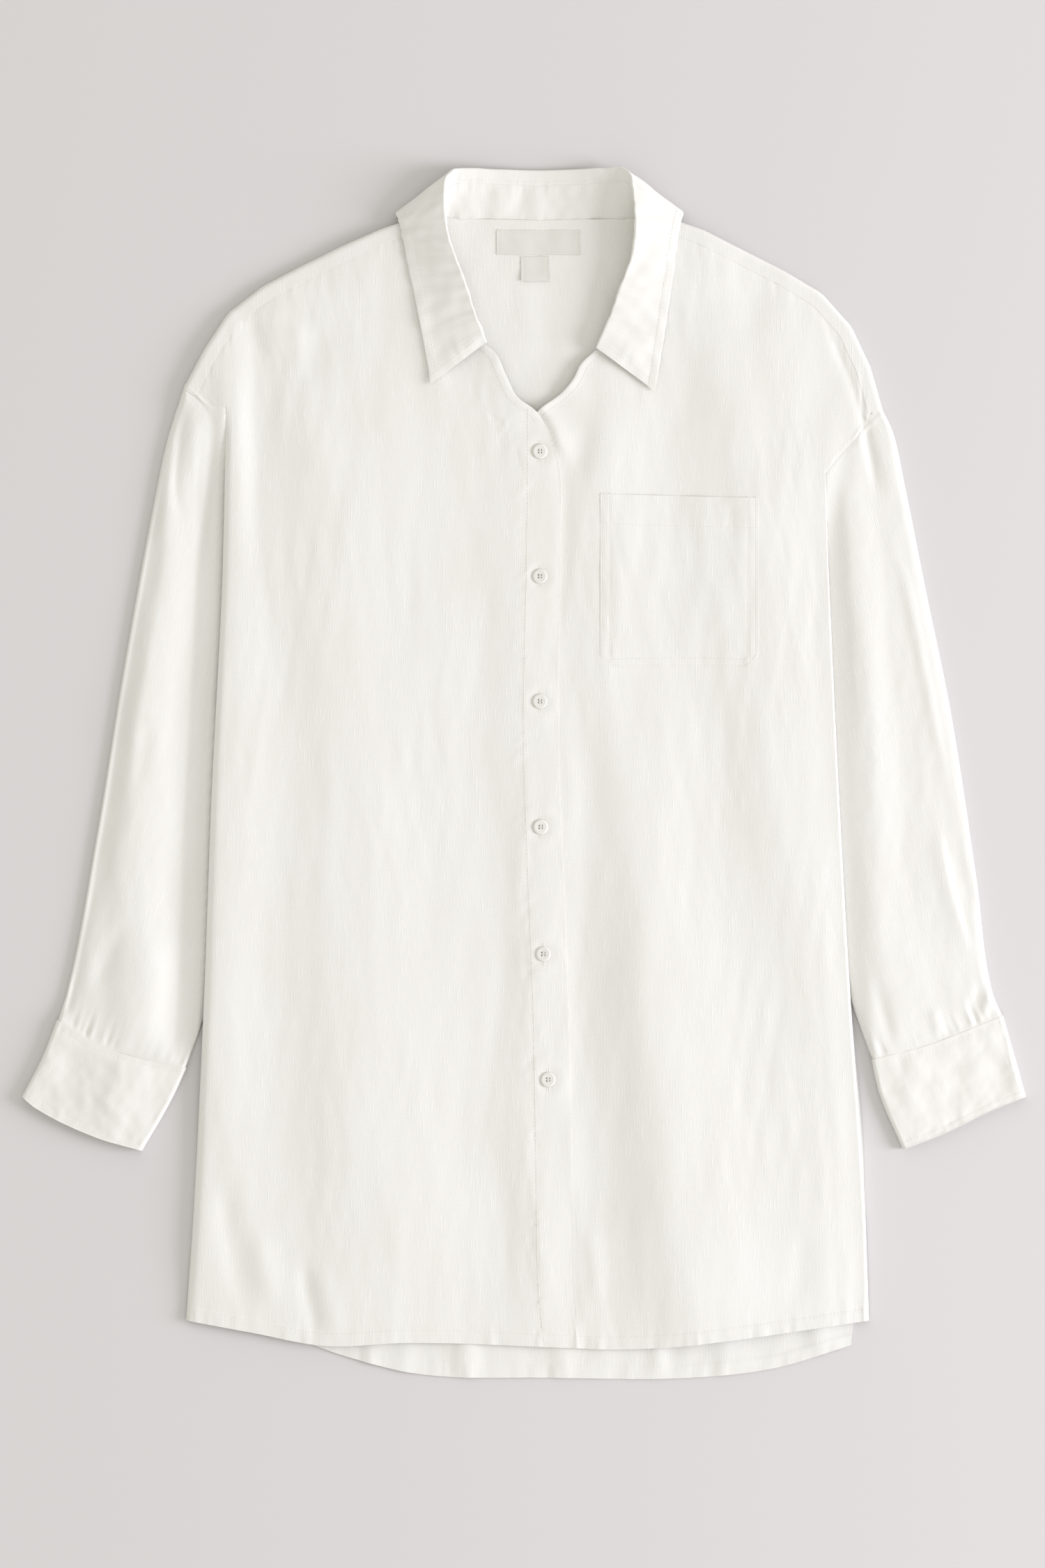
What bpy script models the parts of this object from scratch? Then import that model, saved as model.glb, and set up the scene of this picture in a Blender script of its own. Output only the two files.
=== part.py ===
"""Long linen shirt, laid flat on its back with the sleeves swung down beside the body.

+Y points to the collar, +X to the wearer's left and +Z up, and the shirt lies on Z = 0.
Sizes and tables are in millimetres, and MM turns them into Blender's metres.
"over" is the wearer's right half, whose front laps over; "under" is the wearer's left half.
"""

import math

import bmesh
import bpy
from mathutils import Vector
from mathutils.bvhtree import BVHTree

MM = 0.001

# Driving sizes
CLOTH = 1.0              # wall of every cloth piece
SEAM = 0.35              # gap between two pieces where they are sewn together
AIR = 0.6                # air between two layers that lie on each other
FRONT_AIR = 3.0          # air under the fronts, away from folds
SIDE_LOFT = 3.5          # extra air in the soft fold along each side of the body
SIDE_LOFT_REACH = 45.0   # how far in from the side that loft fades
SIDE_ROLL = 4.0          # how far in from the side the fold turns down
SLEEVE_PUFF = 4.6        # extra height of a sleeve where the body doesn't press on it
SLEEVE_PUFF_START = 16.0  # how far out from the body's fold it starts to rise
SLEEVE_PUFF_REACH = 22.0
SLEEVE_ROLL = 3.0
CUFF_HEIGHT = 6.0
SHOULDER_ROLL = 2.6      # plan radius of the back's turn over the shoulder
SHOULDER_STRIP = 11.0    # from the shoulder's edge to the forward shoulder seam
BAND = 27.0              # width of the turned button band
CELL = 28.0              # the widest facet, kept flat round what a panel has to clear
CELL_LENGTH = 46.0       # and the longest one
RAMP = 26.0              # how fast a lifted panel comes down again
RAMP_LENGTH = 80.0       # and how slowly below the sleeve

HIDDEN_SLEEVE = 2 * CLOTH + AIR            # height of a sleeve that lies under the body
LIFT_OVER_SLEEVE = HIDDEN_SLEEVE + 0.8
LIFT_OVER_LEAF = CLOTH + 1.1

# Side folds of the body: a row for each height up the body
SIDES = (
    # height, over side, under side
    (-403.0, -248.5, 254.5),
    (-310.0, -242.5, 251.0),
    (-170.0, -235.5, 241.0),
    (-20.0, -230.0, 232.5),
    (140.0, -222.0, 225.0),
    (221.0, -220.0, 221.5),
    (269.0, -219.0, 221.0),
)

# Hems, from the over side to the under side
FRONT_OVER_HEM = ((-248.5, -402.0), (-201.0, -411.0), (-147.0, -421.0), (-85.0, -419.0), (41.0, -423.5))
FRONT_UNDER_HEM = ((14.0, -422.0), (60.0, -424.5), (107.0, -423.0), (153.0, -418.0), (254.5, -403.5))
BACK_HEM = ((-248.5, -402.0), (-190.0, -409.0), (-131.0, -429.0), (-78.0, -442.0), (20.0, -445.0),
            (122.0, -445.3), (184.0, -438.5), (241.5, -421.5))
BACK_UNDER_SIDE = ((241.5, -421.5), (244.0, -395.0), (251.0, -310.0), (241.0, -170.0), (232.5, -20.0),
                   (225.0, 140.0), (222.0, 220.0))

# Front edges, from the hem to the first button
OVER_EDGE = ((41.0, -423.5), (36.5, -380.0), (35.0, -300.0), (32.5, -169.0), (27.5, -46.0), (25.0, 36.0),
             (27.0, 175.0), (26.5, 222.0), (18.0, 253.0))
# Neck edges of the fronts, from the front edge to the end of the collar
OVER_NECK = ((18.0, 253.0), (9.5, 266.5), (-4.5, 277.0), (-12.5, 292.0), (-20.5, 309.0), (-29.0, 316.0))
UNDER_NECK = ((-3.0, 245.0), (10.5, 266.5), (28.5, 280.5), (37.0, 291.0), (42.0, 301.0), (53.0, 311.5))

# Shoulder outlines, from the armhole seam to the neck, and the armhole seams, from the fold out
OVER_SHOULDER = ((-250.5, 283.5), (-240.0, 300.0), (-232.5, 319.0), (-220.0, 336.5), (-202.0, 352.5),
                 (-155.0, 378.0), (-97.0, 404.0), (-74.0, 411.2))
UNDER_SHOULDER = ((264.5, 267.5), (258.5, 290.0), (246.5, 321.0), (224.5, 349.5), (207.0, 362.0),
                  (176.0, 378.0), (121.0, 405.0), (100.5, 411.2))
OVER_ARMHOLE = ((-219.0, 269.5), (-237.0, 273.5), (-250.5, 283.5))
UNDER_ARMHOLE = ((222.0, 220.5), (232.5, 234.0), (248.0, 251.0), (264.5, 267.5))

# Sleeves: the outer edge and the inner edge down to the cuff, the seam at the armhole and the
# seam at the cuff. The inner edge lies under the body down to just above the cuff.
SLEEVE_OVER = {
    "outer": ((-250.5, 283.5), (-262.5, 245.5), (-272.5, 198.5), (-294.5, 77.0), (-314.5, -46.0),
              (-336.5, -161.5), (-343.5, -181.0)),
    "inner": ((-128.0, 190.0), (-150.0, 120.0), (-185.0, 0.0), (-238.0, -187.5), (-248.0, -216.5)),
    "top": ((-250.5, 283.5), (-237.0, 273.5), (-219.0, 269.5), (-176.0, 246.0), (-128.0, 190.0)),
    "bottom": ((-343.5, -181.0), (-317.0, -198.0), (-288.0, -208.0), (-248.0, -216.5)),
}
SLEEVE_UNDER = {
    "outer": ((264.5, 267.5), (271.5, 253.0), (281.5, 208.5), (295.5, 138.5), (314.5, 46.0),
              (333.5, -77.0), (345.5, -161.5), (353.0, -178.0)),
    "inner": ((146.0, 165.0), (164.0, 100.0), (200.0, -20.0), (240.5, -166.0), (256.0, -210.5)),
    "top": ((264.5, 267.5), (248.0, 251.0), (222.0, 220.5), (186.0, 192.0), (146.0, 165.0)),
    "bottom": ((353.0, -178.0), (326.0, -189.0), (297.0, -200.0), (256.0, -210.5)),
}
CUFF_OVER = {
    "outer": ((-343.5, -181.0), (-354.5, -209.0), (-369.5, -238.0)),
    "inner": ((-248.0, -216.5), (-259.0, -240.0), (-281.0, -278.0)),
    "top": SLEEVE_OVER["bottom"],
    "bottom": ((-369.5, -238.0), (-360.0, -246.0), (-315.0, -268.0), (-281.0, -278.0)),
}
CUFF_UNDER = {
    "outer": ((353.0, -178.0), (363.0, -213.0), (370.0, -238.0)),
    "inner": ((256.0, -210.5), (262.0, -236.0), (279.5, -277.0)),
    "top": SLEEVE_UNDER["bottom"],
    "bottom": ((370.0, -238.0), (345.0, -248.0), (310.0, -265.0), (279.5, -277.0)),
}

# Collar: a row for each section from one front end round the back of the neck to the other.
# foot is the seam to the body, and its last number is 1 on a front's edge and 0 on the back's;
# crest is the fold, edge is the leaf's free edge, and hang bends the leaf between them: below 1
# it stands out, above 1 it drops early.
COLLAR = (
    # foot x, y, on front, crest x, y, z,        edge x, y, z,         hang
    ((-37.0, 318.0, 1.0), (-28.0, 316.5, 12.0), (-68.5, 286.0, 9.5), 0.90),
    ((-44.0, 331.0, 1.0), (-34.0, 331.5, 14.0), (-73.0, 314.0, 10.0), 0.85),
    ((-54.0, 353.0, 1.0), (-41.5, 354.0, 17.0), (-79.5, 347.0, 10.5), 0.80),
    ((-62.0, 374.0, 1.0), (-49.5, 376.5, 19.0), (-85.5, 375.0, 11.0), 0.75),
    ((-66.5, 389.0, 1.0), (-55.0, 392.0, 20.0), (-89.0, 392.0, 11.0), 0.75),
    ((-68.0, 399.0, 1.0), (-58.0, 408.0, 20.0), (-91.0, 402.0, 10.5), 0.75),
    ((-66.0, 407.5, 0.6), (-58.5, 424.0, 18.5), (-92.5, 408.0, 9.5), 0.80),
    ((-60.0, 409.5, 0.2), (-57.0, 437.0, 15.0), (-94.0, 412.0, 6.0), 0.95),
    ((-54.0, 408.5, 0.0), (-52.5, 443.0, 11.5), (-92.0, 413.5, 2.0), 1.40),
    ((-44.0, 408.0, 0.0), (-42.0, 444.3, 8.0), (-72.0, 405.0, 0.0), 2.20),
    ((-20.0, 407.7, 0.0), (-20.0, 443.8, 4.5), (-38.0, 399.0, 0.0), 2.20),
    ((10.5, 407.0, 0.0), (10.5, 443.0, 2.6), (10.5, 397.0, 0.0), 1.60),
    ((42.0, 407.7, 0.0), (42.0, 443.8, 4.5), (60.0, 399.0, 0.0), 2.20),
    ((70.0, 408.0, 0.0), (64.0, 444.8, 8.0), (96.0, 405.0, 0.0), 2.20),
    ((80.0, 408.5, 0.0), (73.0, 445.0, 12.0), (115.5, 414.0, 2.0), 1.40),
    ((86.0, 409.5, 0.2), (78.0, 440.0, 15.5), (117.5, 412.5, 6.0), 0.95),
    ((92.0, 407.5, 0.6), (81.0, 424.0, 18.5), (116.5, 408.0, 9.0), 0.80),
    ((94.5, 399.0, 1.0), (82.5, 403.0, 20.0), (115.0, 401.0, 9.5), 0.75),
    ((92.5, 384.0, 1.0), (80.5, 382.0, 19.5), (112.5, 385.0, 9.5), 0.75),
    ((86.0, 362.0, 1.0), (73.0, 361.0, 18.0), (109.0, 358.0, 9.5), 0.80),
    ((76.0, 336.0, 1.0), (65.0, 338.0, 14.5), (104.0, 325.0, 9.0), 0.85),
    ((64.0, 316.0, 1.0), (54.0, 312.5, 12.0), (97.0, 281.0, 8.0), 0.90),
)
ON_BACK = slice(7, 16)       # rows whose foot is sewn to the back
ON_OVER = slice(0, 6)        # and to the fronts
ON_UNDER = slice(21, 15, -1)
COLLAR_FOLD = 1.3        # radius of the fold along the crest
STAND_SHORT = 10.0       # the stand ends this far below the crest, where the leaf is sewn on

# Largest folds of the fronts: from one end to the other, half width, height (troughs below zero)
FOLDS = (
    # x0, y0, x1, y1, half width, height
    (-34.0, 322.0, 14.0, 264.0, 20.0, 3.0),
    (58.0, 316.0, 22.0, 274.0, 20.0, 3.0),
    (-172.0, 300.0, -170.0, 60.0, 24.0, -1.6),
    (-170.0, 60.0, -150.0, -300.0, 26.0, -1.6),
    (40.0, 40.0, 64.0, -120.0, 22.0, -1.6),
    (66.0, -120.0, 104.0, -400.0, 26.0, -1.8),
    (127.0, 340.0, 125.0, 235.0, 26.0, -1.4),
    (36.0, -60.0, 46.0, -330.0, 20.0, 1.2),
)

# Pocket, labels and buttons
POCKET = {"over": 56.5, "under": 172.5, "top": 204.0, "bottom": 78.0, "corner": 9.0}
POCKET_GAP = 0.7
NECK_LABEL = {"centre": (11.0, 391.0), "width": 61.5, "height": 18.0}
SIZE_LABEL = {"centre": (8.5, 371.5), "width": 20.5, "height": 18.0}
LABEL_CLOTH = 0.6
BUTTONS = ((12.0, 237.0), (12.0, 145.0), (12.0, 53.0), (12.5, -39.5), (14.5, -133.0), (18.0, -225.5))
BUTTON_RADIUS = 5.5
BUTTON_HEIGHT = 2.4


# ---------------------------------------------------------------- curves and patches

def smooth(t):
    """Soft step from 0 at t = 0 to 1 at t = 1."""
    t = min(max(t, 0.0), 1.0)
    return t * t * (3.0 - 2.0 * t)


def curve(points):
    """Smooth curve through the points, as a function of the share of its length."""
    points = [Vector(p) for p in points]
    steps = [(b - a).length for a, b in zip(points, points[1:])]
    total = sum(steps)

    def at(t):
        target = min(max(t, 0.0), 1.0) * total
        i = 0
        while i < len(steps) - 1 and target > steps[i]:
            target -= steps[i]
            i += 1
        s = target / steps[i]
        p1, p2 = points[i], points[i + 1]
        before = (p1 - points[i - 1]) / steps[i - 1] if i > 0 else (p2 - p1) / steps[i]
        after = (points[i + 2] - p2) / steps[i + 1] if i + 2 < len(points) else (p2 - p1) / steps[i]
        here = (p2 - p1) / steps[i]
        m1 = (before + here) * 0.5 * steps[i]
        m2 = (here + after) * 0.5 * steps[i]
        return (p1 * (2 * s ** 3 - 3 * s ** 2 + 1) + m1 * (s ** 3 - 2 * s ** 2 + s)
                + p2 * (3 * s ** 2 - 2 * s ** 3) + m2 * (s ** 3 - s ** 2))

    return at


def joined(*spans):
    """One boundary from several curves; each span is (its last share, curve)."""
    def at(t):
        low = 0.0
        for high, part in spans:
            if t <= high:
                return part((t - low) / (high - low))
            low = high
        return spans[-1][1](1.0)

    return at


def patch(bottom, top, left, right):
    """Plan of a panel between its four boundaries: (u across, v up) to a plan point."""
    def at(u, v):
        ends = (bottom(0.0) * (1 - u) * (1 - v) + bottom(1.0) * u * (1 - v)
                + top(0.0) * (1 - u) * v + top(1.0) * u * v)
        return bottom(u) * (1 - v) + top(u) * v + left(v) * (1 - u) + right(v) * u - ends

    return at


def chords(path, count):
    """The path as straight chords between evenly shared points."""
    return polyline([path(i / count) for i in range(count + 1)])


def polyline(points):
    """Straight from point to point, with an equal share for each step."""
    points = [Vector(p) for p in points]
    count = len(points) - 1

    def at(t):
        i = min(int(t * count), count - 1)
        return points[i].lerp(points[i + 1], t * count - i)

    return at


def inset(path, distance):
    """The path moved to its right by a distance (its direction turned clockwise)."""
    def at(t):
        a, b = path(max(t - 0.02, 0.0)), path(min(t + 0.02, 1.0))
        along = (b - a).normalized()
        return path(t) + Vector((along.y, -along.x)) * distance

    return at


def between(table, key, column):
    """Value of a table's column at a key in its first column, straight between rows."""
    if key <= table[0][0]:
        return table[0][column]
    for low, high in zip(table, table[1:]):
        if key <= high[0]:
            t = (key - low[0]) / (high[0] - low[0])
            return low[column] + (high[column] - low[column]) * t
    return table[-1][column]


# ---------------------------------------------------------------- heights

def under_line(points, y):
    """x of a downward edge at height y, straight between its points."""
    rows = sorted((p[1], p[0]) for p in points)
    return between(rows, y, 1)


def over_sleeve(x, y):
    """1 where the body lies on a sleeve, 0 where it lies on the floor."""
    side, sleeve = (1, SLEEVE_OVER) if x < 0 else (-1, SLEEVE_UNDER)
    fold = between(SIDES, y, 1 if x < 0 else 2)
    inner = under_line(sleeve["inner"], y)
    inward = 1 - smooth(((x - inner) * side - CELL) / RAMP)
    outward = smooth(1 + (x - fold) * side / 18.0)
    seam = sorted((p[0], p[1]) for p in sleeve["top"])
    upward = 1 - smooth((y - between(seam, x, 1) - CELL_LENGTH) / RAMP)
    downward = smooth((y - sleeve["inner"][-1][1] + RAMP_LENGTH) / RAMP_LENGTH)
    return inward * outward * upward * downward


def over_leaf(x, y):
    """1 where the back lies on the part of the collar leaf that goes behind the neck."""
    return smooth((y - 340.0) / RAMP) * smooth((x + 150.0) / 40.0) * smooth((174.0 - x) / 40.0)


def lift(x, y):
    """Height of the back's underside."""
    return max(LIFT_OVER_SLEEVE * over_sleeve(x, y), LIFT_OVER_LEAF * over_leaf(x, y))


def folds(x, y):
    """Height that the largest folds add at a plan point."""
    total = 0.0
    for x0, y0, x1, y1, half_width, height in FOLDS:
        run = Vector((x1 - x0, y1 - y0))
        away = Vector((x - x0, y - y0))
        t = away.dot(run) / run.length_squared
        across = (away - run * min(max(t, 0.0), 1.0)).length
        total += height * math.exp(-(across / half_width) ** 2)
    return total


def side_distance(x, y):
    """How far inside the nearer side fold a plan point lies."""
    return min(x - between(SIDES, y, 1), between(SIDES, y, 2) - x)


def front_top(x, y):
    """Height of the fronts' upper side, before the side folds turn down."""
    inside = side_distance(x, y)
    loft = SIDE_LOFT * smooth((inside + 12.0) / 12.0) * (1 - smooth((inside - 8.0) / SIDE_LOFT_REACH))
    loft *= 1 - smooth((y - 300.0) / 60.0)
    return lift(x, y) + 2 * CLOTH + max(FRONT_AIR + loft + folds(x, y), AIR)


def turn(distance, radius):
    """Share of the full height at a distance in from a rounded edge."""
    rest = 1 - min(max(distance / radius, 0.0), 1.0)
    return math.sqrt(1 - rest * rest)


# ---------------------------------------------------------------- objects

def material(name, colour, roughness):
    made = bpy.data.materials.new(name)
    made.use_nodes = True
    shader = made.node_tree.nodes["Principled BSDF"]
    shader.inputs["Base Color"].default_value = (*colour, 1.0)
    shader.inputs["Roughness"].default_value = roughness
    shader.inputs["Metallic"].default_value = 0.0
    return made


def place(name, mesh, finish):
    """Put a mesh in the shirt's collection under its piece's name."""
    mesh.materials.append(finish)
    obj = bpy.data.objects.new(name, mesh)
    bpy.data.collections[COLLECTION].objects.link(obj)
    return obj


def cloth(name, rows, finish, ring=False, wall=CLOTH):
    """A cloth piece from rows of points on its outer side, thickened inwards.

    Rows run with the outer side to the left of (along the row) x (to the next row). A point may
    be None where the piece has no cloth. A ring closes each row on itself.
    """
    bm = bmesh.new()
    verts = [[bm.verts.new(p * MM) if p else None for p in row] for row in rows]
    for low, high in zip(verts, verts[1:]):
        count = len(low) if ring else len(low) - 1
        for i in range(count):
            j = (i + 1) % len(low)
            corners = (low[i], low[j], high[j], high[i])
            if all(corners):
                bm.faces.new(corners)
    mesh = bpy.data.meshes.new(name)
    bm.to_mesh(mesh)
    bm.free()
    mesh.shade_smooth()
    obj = place(name, mesh, finish)
    wall_modifier = obj.modifiers.new("wall", "SOLIDIFY")
    wall_modifier.thickness = wall * MM
    wall_modifier.offset = -1.0
    wall_modifier.use_even_offset = True
    return obj


def shares(count, start=0.0, end=1.0):
    return [start + (end - start) * i / count for i in range(count + 1)]


# ---------------------------------------------------------------- body

SIDE_STEPS = (0.0, 0.5, 1.8, 4.2)          # columns that round a side fold, distance in from it
ARMHOLE_SHARE = 0.94                       # share of a panel's side below the armhole seam
NECK_SHARES = (0.38, 0.62)                 # shares of the back's top that the neck seam takes
SHOULDER_COLUMNS = 7
SHOULDER_SEAM = SEAM + 0.3                 # between two faceted edges
EDGE_SHARES = (0.74, 0.86)                 # ends of a front's button edge and of its neck edge


def panel_rows():
    return shares(11, 0.0, EDGE_SHARES[0]) + [0.8, EDGE_SHARES[1], 0.9, ARMHOLE_SHARE, 0.97, 1.0]


def shoulder(outline, distance):
    """The shoulder's outline moved in by a distance, with a corner at each of the back's columns."""
    return chords(inset(curve(outline), distance), SHOULDER_COLUMNS)


def foot_line(rows, clear_x, clear_y):
    """Foot of the collar along some rows, moved by a clearance."""
    return [(foot[0] + clear_x, foot[1] + clear_y) for foot, _, _, _ in COLLAR[rows]]


OVER_SIDE = [(x, y) for y, x, _ in SIDES[:-1]]
UNDER_SIDE = [(x, y) for y, _, x in SIDES[:-2]]
UNDER_SHOULDER_BACK = tuple(reversed(UNDER_SHOULDER))   # from the neck out


def back_plan():
    over = shoulder(OVER_SHOULDER, SHOULDER_ROLL)
    under = shoulder(UNDER_SHOULDER_BACK, SHOULDER_ROLL)
    neck = polyline(foot_line(ON_BACK, 0.0, -SEAM))
    top = joined((NECK_SHARES[0], over), (NECK_SHARES[1], neck), (1.0, under))
    left = joined((ARMHOLE_SHARE, curve(OVER_SIDE + [OVER_ARMHOLE[0]])),
                  (1.0, curve([*OVER_ARMHOLE[:-1], over(0.0)])))
    right = joined((ARMHOLE_SHARE, curve(BACK_UNDER_SIDE)),
                   (1.0, curve([*UNDER_ARMHOLE[:-1], under(1.0)])))
    return patch(curve(BACK_HEM), top, left, right)


def shoulder_point(u, angle, further):
    """Point on the back's turn over a shoulder, or None at the neck."""
    low, high = NECK_SHARES
    if low < u < high:
        return None
    outline = OVER_SHOULDER if u <= low else UNDER_SHOULDER_BACK
    t = u / low if u <= low else (u - high) / (1.0 - high)
    seam = shoulder(outline, SHOULDER_STRIP)(t)
    base = lift(seam.x, seam.y)
    half = (front_top(seam.x, seam.y) - base) * 0.5
    at = shoulder(outline, SHOULDER_ROLL * (1 - math.cos(angle)) + further)(t)
    return Vector((at.x, at.y, base + half * (1 + math.sin(angle))))


def make_back(finish):
    """The back lies on the floor, on the sleeves and on the collar, and rolls over the shoulders."""
    plan = back_plan()
    columns = (shares(SHOULDER_COLUMNS, 0.0, NECK_SHARES[0]) + shares(8, *NECK_SHARES)[1:]
               + shares(SHOULDER_COLUMNS, NECK_SHARES[1], 1.0)[1:])
    rows = []
    for v in panel_rows():
        points = [plan(u, v) for u in columns]
        rows.append([Vector((p.x, p.y, lift(p.x, p.y))) for p in points])
    for degrees in (-45, 0, 45, 90):
        rows.append([shoulder_point(u, math.radians(degrees), 0.0) for u in columns])
    rows.append([shoulder_point(u, math.radians(90), SHOULDER_STRIP - SHOULDER_ROLL) for u in columns])
    rows = [list(reversed(row)) for row in rows]
    return cloth("back", rows, finish)


def front_rows(plan, fold, top):
    """Rows of a front. fold is the u of its side fold, and top gives its height at a plan point."""
    rows = []
    for v in panel_rows():
        width = (plan(1.0, v) - plan(0.0, v)).length
        columns = [d / width for d in SIDE_STEPS] + shares(9)[1:]
        if fold == 1:
            columns = [1 - d for d in reversed(columns)]
        row = []
        for u in columns:
            p = plan(u, v)
            risen = turn(abs(u - fold) * width, SIDE_ROLL) if v <= ARMHOLE_SHARE else 1.0
            low = lift(p.x, p.y) + CLOTH + SEAM + 0.35
            row.append(Vector((p.x, p.y, low + (top(p.x, p.y) - low) * risen)))
        rows.append(row)
    return rows


def make_front_over(finish):
    top = shoulder(OVER_SHOULDER, SHOULDER_STRIP + SHOULDER_SEAM)
    side = joined((ARMHOLE_SHARE, curve(OVER_SIDE + [OVER_ARMHOLE[0]])),
                  (1.0, curve([*OVER_ARMHOLE[:-1], top(0.0)])))
    edge = joined((EDGE_SHARES[0], curve(OVER_EDGE)),
                  (EDGE_SHARES[1], curve(OVER_NECK)),
                  (1.0, curve([OVER_NECK[-1], *foot_line(ON_OVER, -CLOTH - 2 * SEAM, 0.0)[:-1], top(1.0)])))
    plan = patch(curve(FRONT_OVER_HEM), top, side, edge)
    return cloth("front_over", front_rows(plan, 0, front_top), finish)


def under_front_top(x, y):
    """The under front dips where the over front's band lies on it."""
    edge = under_line(OVER_EDGE + OVER_NECK[1:], y)
    free = smooth((x - edge - 6.0) / 20.0)
    low = lift(x, y) + 2 * CLOTH + AIR
    return low + (front_top(x, y) - low) * free


def make_front_under(finish):
    top = shoulder(UNDER_SHOULDER_BACK, SHOULDER_STRIP + SHOULDER_SEAM)
    hidden_edge = [(x - BAND, y) for x, y in OVER_EDGE[1:-1]]
    edge = joined((EDGE_SHARES[0], curve([FRONT_UNDER_HEM[0], *hidden_edge, UNDER_NECK[0]])),
                  (EDGE_SHARES[1], curve(UNDER_NECK)),
                  (1.0, curve([UNDER_NECK[-1], *foot_line(ON_UNDER, CLOTH + 2 * SEAM, 0.0)[:-1], top(0.0)])))
    side = joined((ARMHOLE_SHARE, curve([*UNDER_SIDE, UNDER_ARMHOLE[0]])),
                  (1.0, curve([*UNDER_ARMHOLE[:-1], top(1.0)])))
    plan = patch(curve(FRONT_UNDER_HEM), top, edge, side)
    return cloth("front_under", front_rows(plan, 1, under_front_top), finish)


# ---------------------------------------------------------------- sleeves and cuffs

RING_STEPS = (0.0, 1.2, 3.2)               # columns that round the edge of a flattened tube


def flat_tube(name, shape, rows, height, roll, finish, start=0.0, end=1.0, mirror=False):
    """A tube pressed flat: its top over its bottom between the outer and the inner edge."""
    plan = patch(curve(shape["bottom"]), curve(shape["top"]),
                 curve(tuple(reversed(shape["outer"]))), curve(tuple(reversed(shape["inner"]))))
    rings = []
    for v in shares(rows, start, end):
        width = (plan(1.0, v) - plan(0.0, v)).length
        edge = [d / width for d in RING_STEPS]
        across = edge + [0.14, 0.3, 0.5, 0.72] + [1 - d for d in reversed(edge)]
        upper, lower = [], []
        for u in across:
            p = plan(u, v)
            tall = height(p.x, p.y)
            share = turn(u * width, roll) * turn((1 - u) * width, roll)
            upper.append(Vector((p.x, p.y, tall * 0.5 * (1 + share))))
            lower.append(Vector((p.x, p.y, tall * 0.5 * (1 - share))))
        ring = upper + list(reversed(lower[1:-1]))
        rings.append(list(reversed(ring)) if mirror else ring)
    return cloth(name, rings, finish, ring=True)


def sleeve_height(x, y):
    outside = -side_distance(x, y)
    return HIDDEN_SLEEVE + SLEEVE_PUFF * smooth((outside - SLEEVE_PUFF_START) / SLEEVE_PUFF_REACH)


def make_sleeve(name, shape, finish, mirror):
    length = (Vector(shape["outer"][0]) - Vector(shape["outer"][-1])).length
    return flat_tube(name, shape, 13, sleeve_height, SLEEVE_ROLL, finish,
                     SEAM / length, 1 - 1.2 / length, mirror)


def make_cuff(name, shape, finish, mirror):
    return flat_tube(name, shape, 3, lambda x, y: CUFF_HEIGHT, SLEEVE_ROLL, finish, 0.0, 0.993, mirror)


# ---------------------------------------------------------------- collar

def collar_frame(i):
    """Foot, crest and edge of a section, and unit vectors down its middle and to its stand."""
    (x, y, on_front), crest, edge, _ = COLLAR[i]
    seat = lift(x, y) + CLOTH
    foot = Vector((x, y, seat + (front_top(x, y) - seat) * on_front))
    crest = Vector(crest)
    edge = Vector(edge)
    before = Vector(COLLAR[max(i - 1, 0)][1])
    after = Vector(COLLAR[min(i + 1, len(COLLAR) - 1)][1])
    run = (after - before).normalized()
    to_foot = (foot - crest).normalized()
    to_edge = (edge - crest).normalized()
    middle = (to_foot + to_edge).normalized()
    inner = -run.cross(middle).normalized()
    return foot, crest, edge, middle, inner


def make_collar_stand(finish):
    """The band between the neck seam and the leaf; its outer side here faces the neck."""
    rows = []
    for share in (1.0, 0.5, 0.0):
        row = []
        for i in range(len(COLLAR)):
            foot, crest, _, _, inner = collar_frame(i)
            start = crest + inner * COLLAR_FOLD
            end = start + (foot - start).normalized() * STAND_SHORT
            row.append(end + (foot - end) * share)
        rows.append(row)
    return cloth("collar_stand", rows, finish)


def make_collar_leaf(finish):
    """The leaf starts on the stand, turns over the crest and falls to its free edge."""
    sections = []
    for i in range(len(COLLAR)):
        foot, crest, edge, middle, inner = collar_frame(i)
        start = crest + inner * COLLAR_FOLD
        seam = start + (foot - start).normalized() * (STAND_SHORT - 1.6 * SEAM)
        section = [seam]
        for angle in (90, 30, -30, -90):
            a = math.radians(angle)
            section.append(crest + inner * (COLLAR_FOLD * math.sin(a)) - middle * (COLLAR_FOLD * math.cos(a)))
        top = section[-1]
        for share in (0.33, 0.67, 1.0):
            p = top + (edge - top) * share
            p.z = edge.z + (top.z - edge.z) * (1 - share) ** COLLAR[i][3]
            section.append(p)
        sections.append(section)
    rows = [list(row) for row in zip(*sections)]
    return cloth("collar_leaf", rows, finish)


# ---------------------------------------------------------------- what lies on the panels

def surface_of(obj):
    """Search tree of an object's finished mesh, in metres."""
    return BVHTree.FromObject(obj, bpy.context.evaluated_depsgraph_get())


def resting(tree, x, y, gap, reach=5.0):
    """Point a gap above the highest surface within reach of a plan point."""
    highest = 0.0
    for dx in (-reach, 0.0, reach):
        for dy in (-reach, 0.0, reach):
            hit = tree.ray_cast(Vector(((x + dx) * MM, (y + dy) * MM, 1.0)), Vector((0.0, 0.0, -1.0)))[0]
            highest = max(highest, hit.z / MM if hit else 0.0)
    return Vector((x, y, highest + gap))


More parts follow.
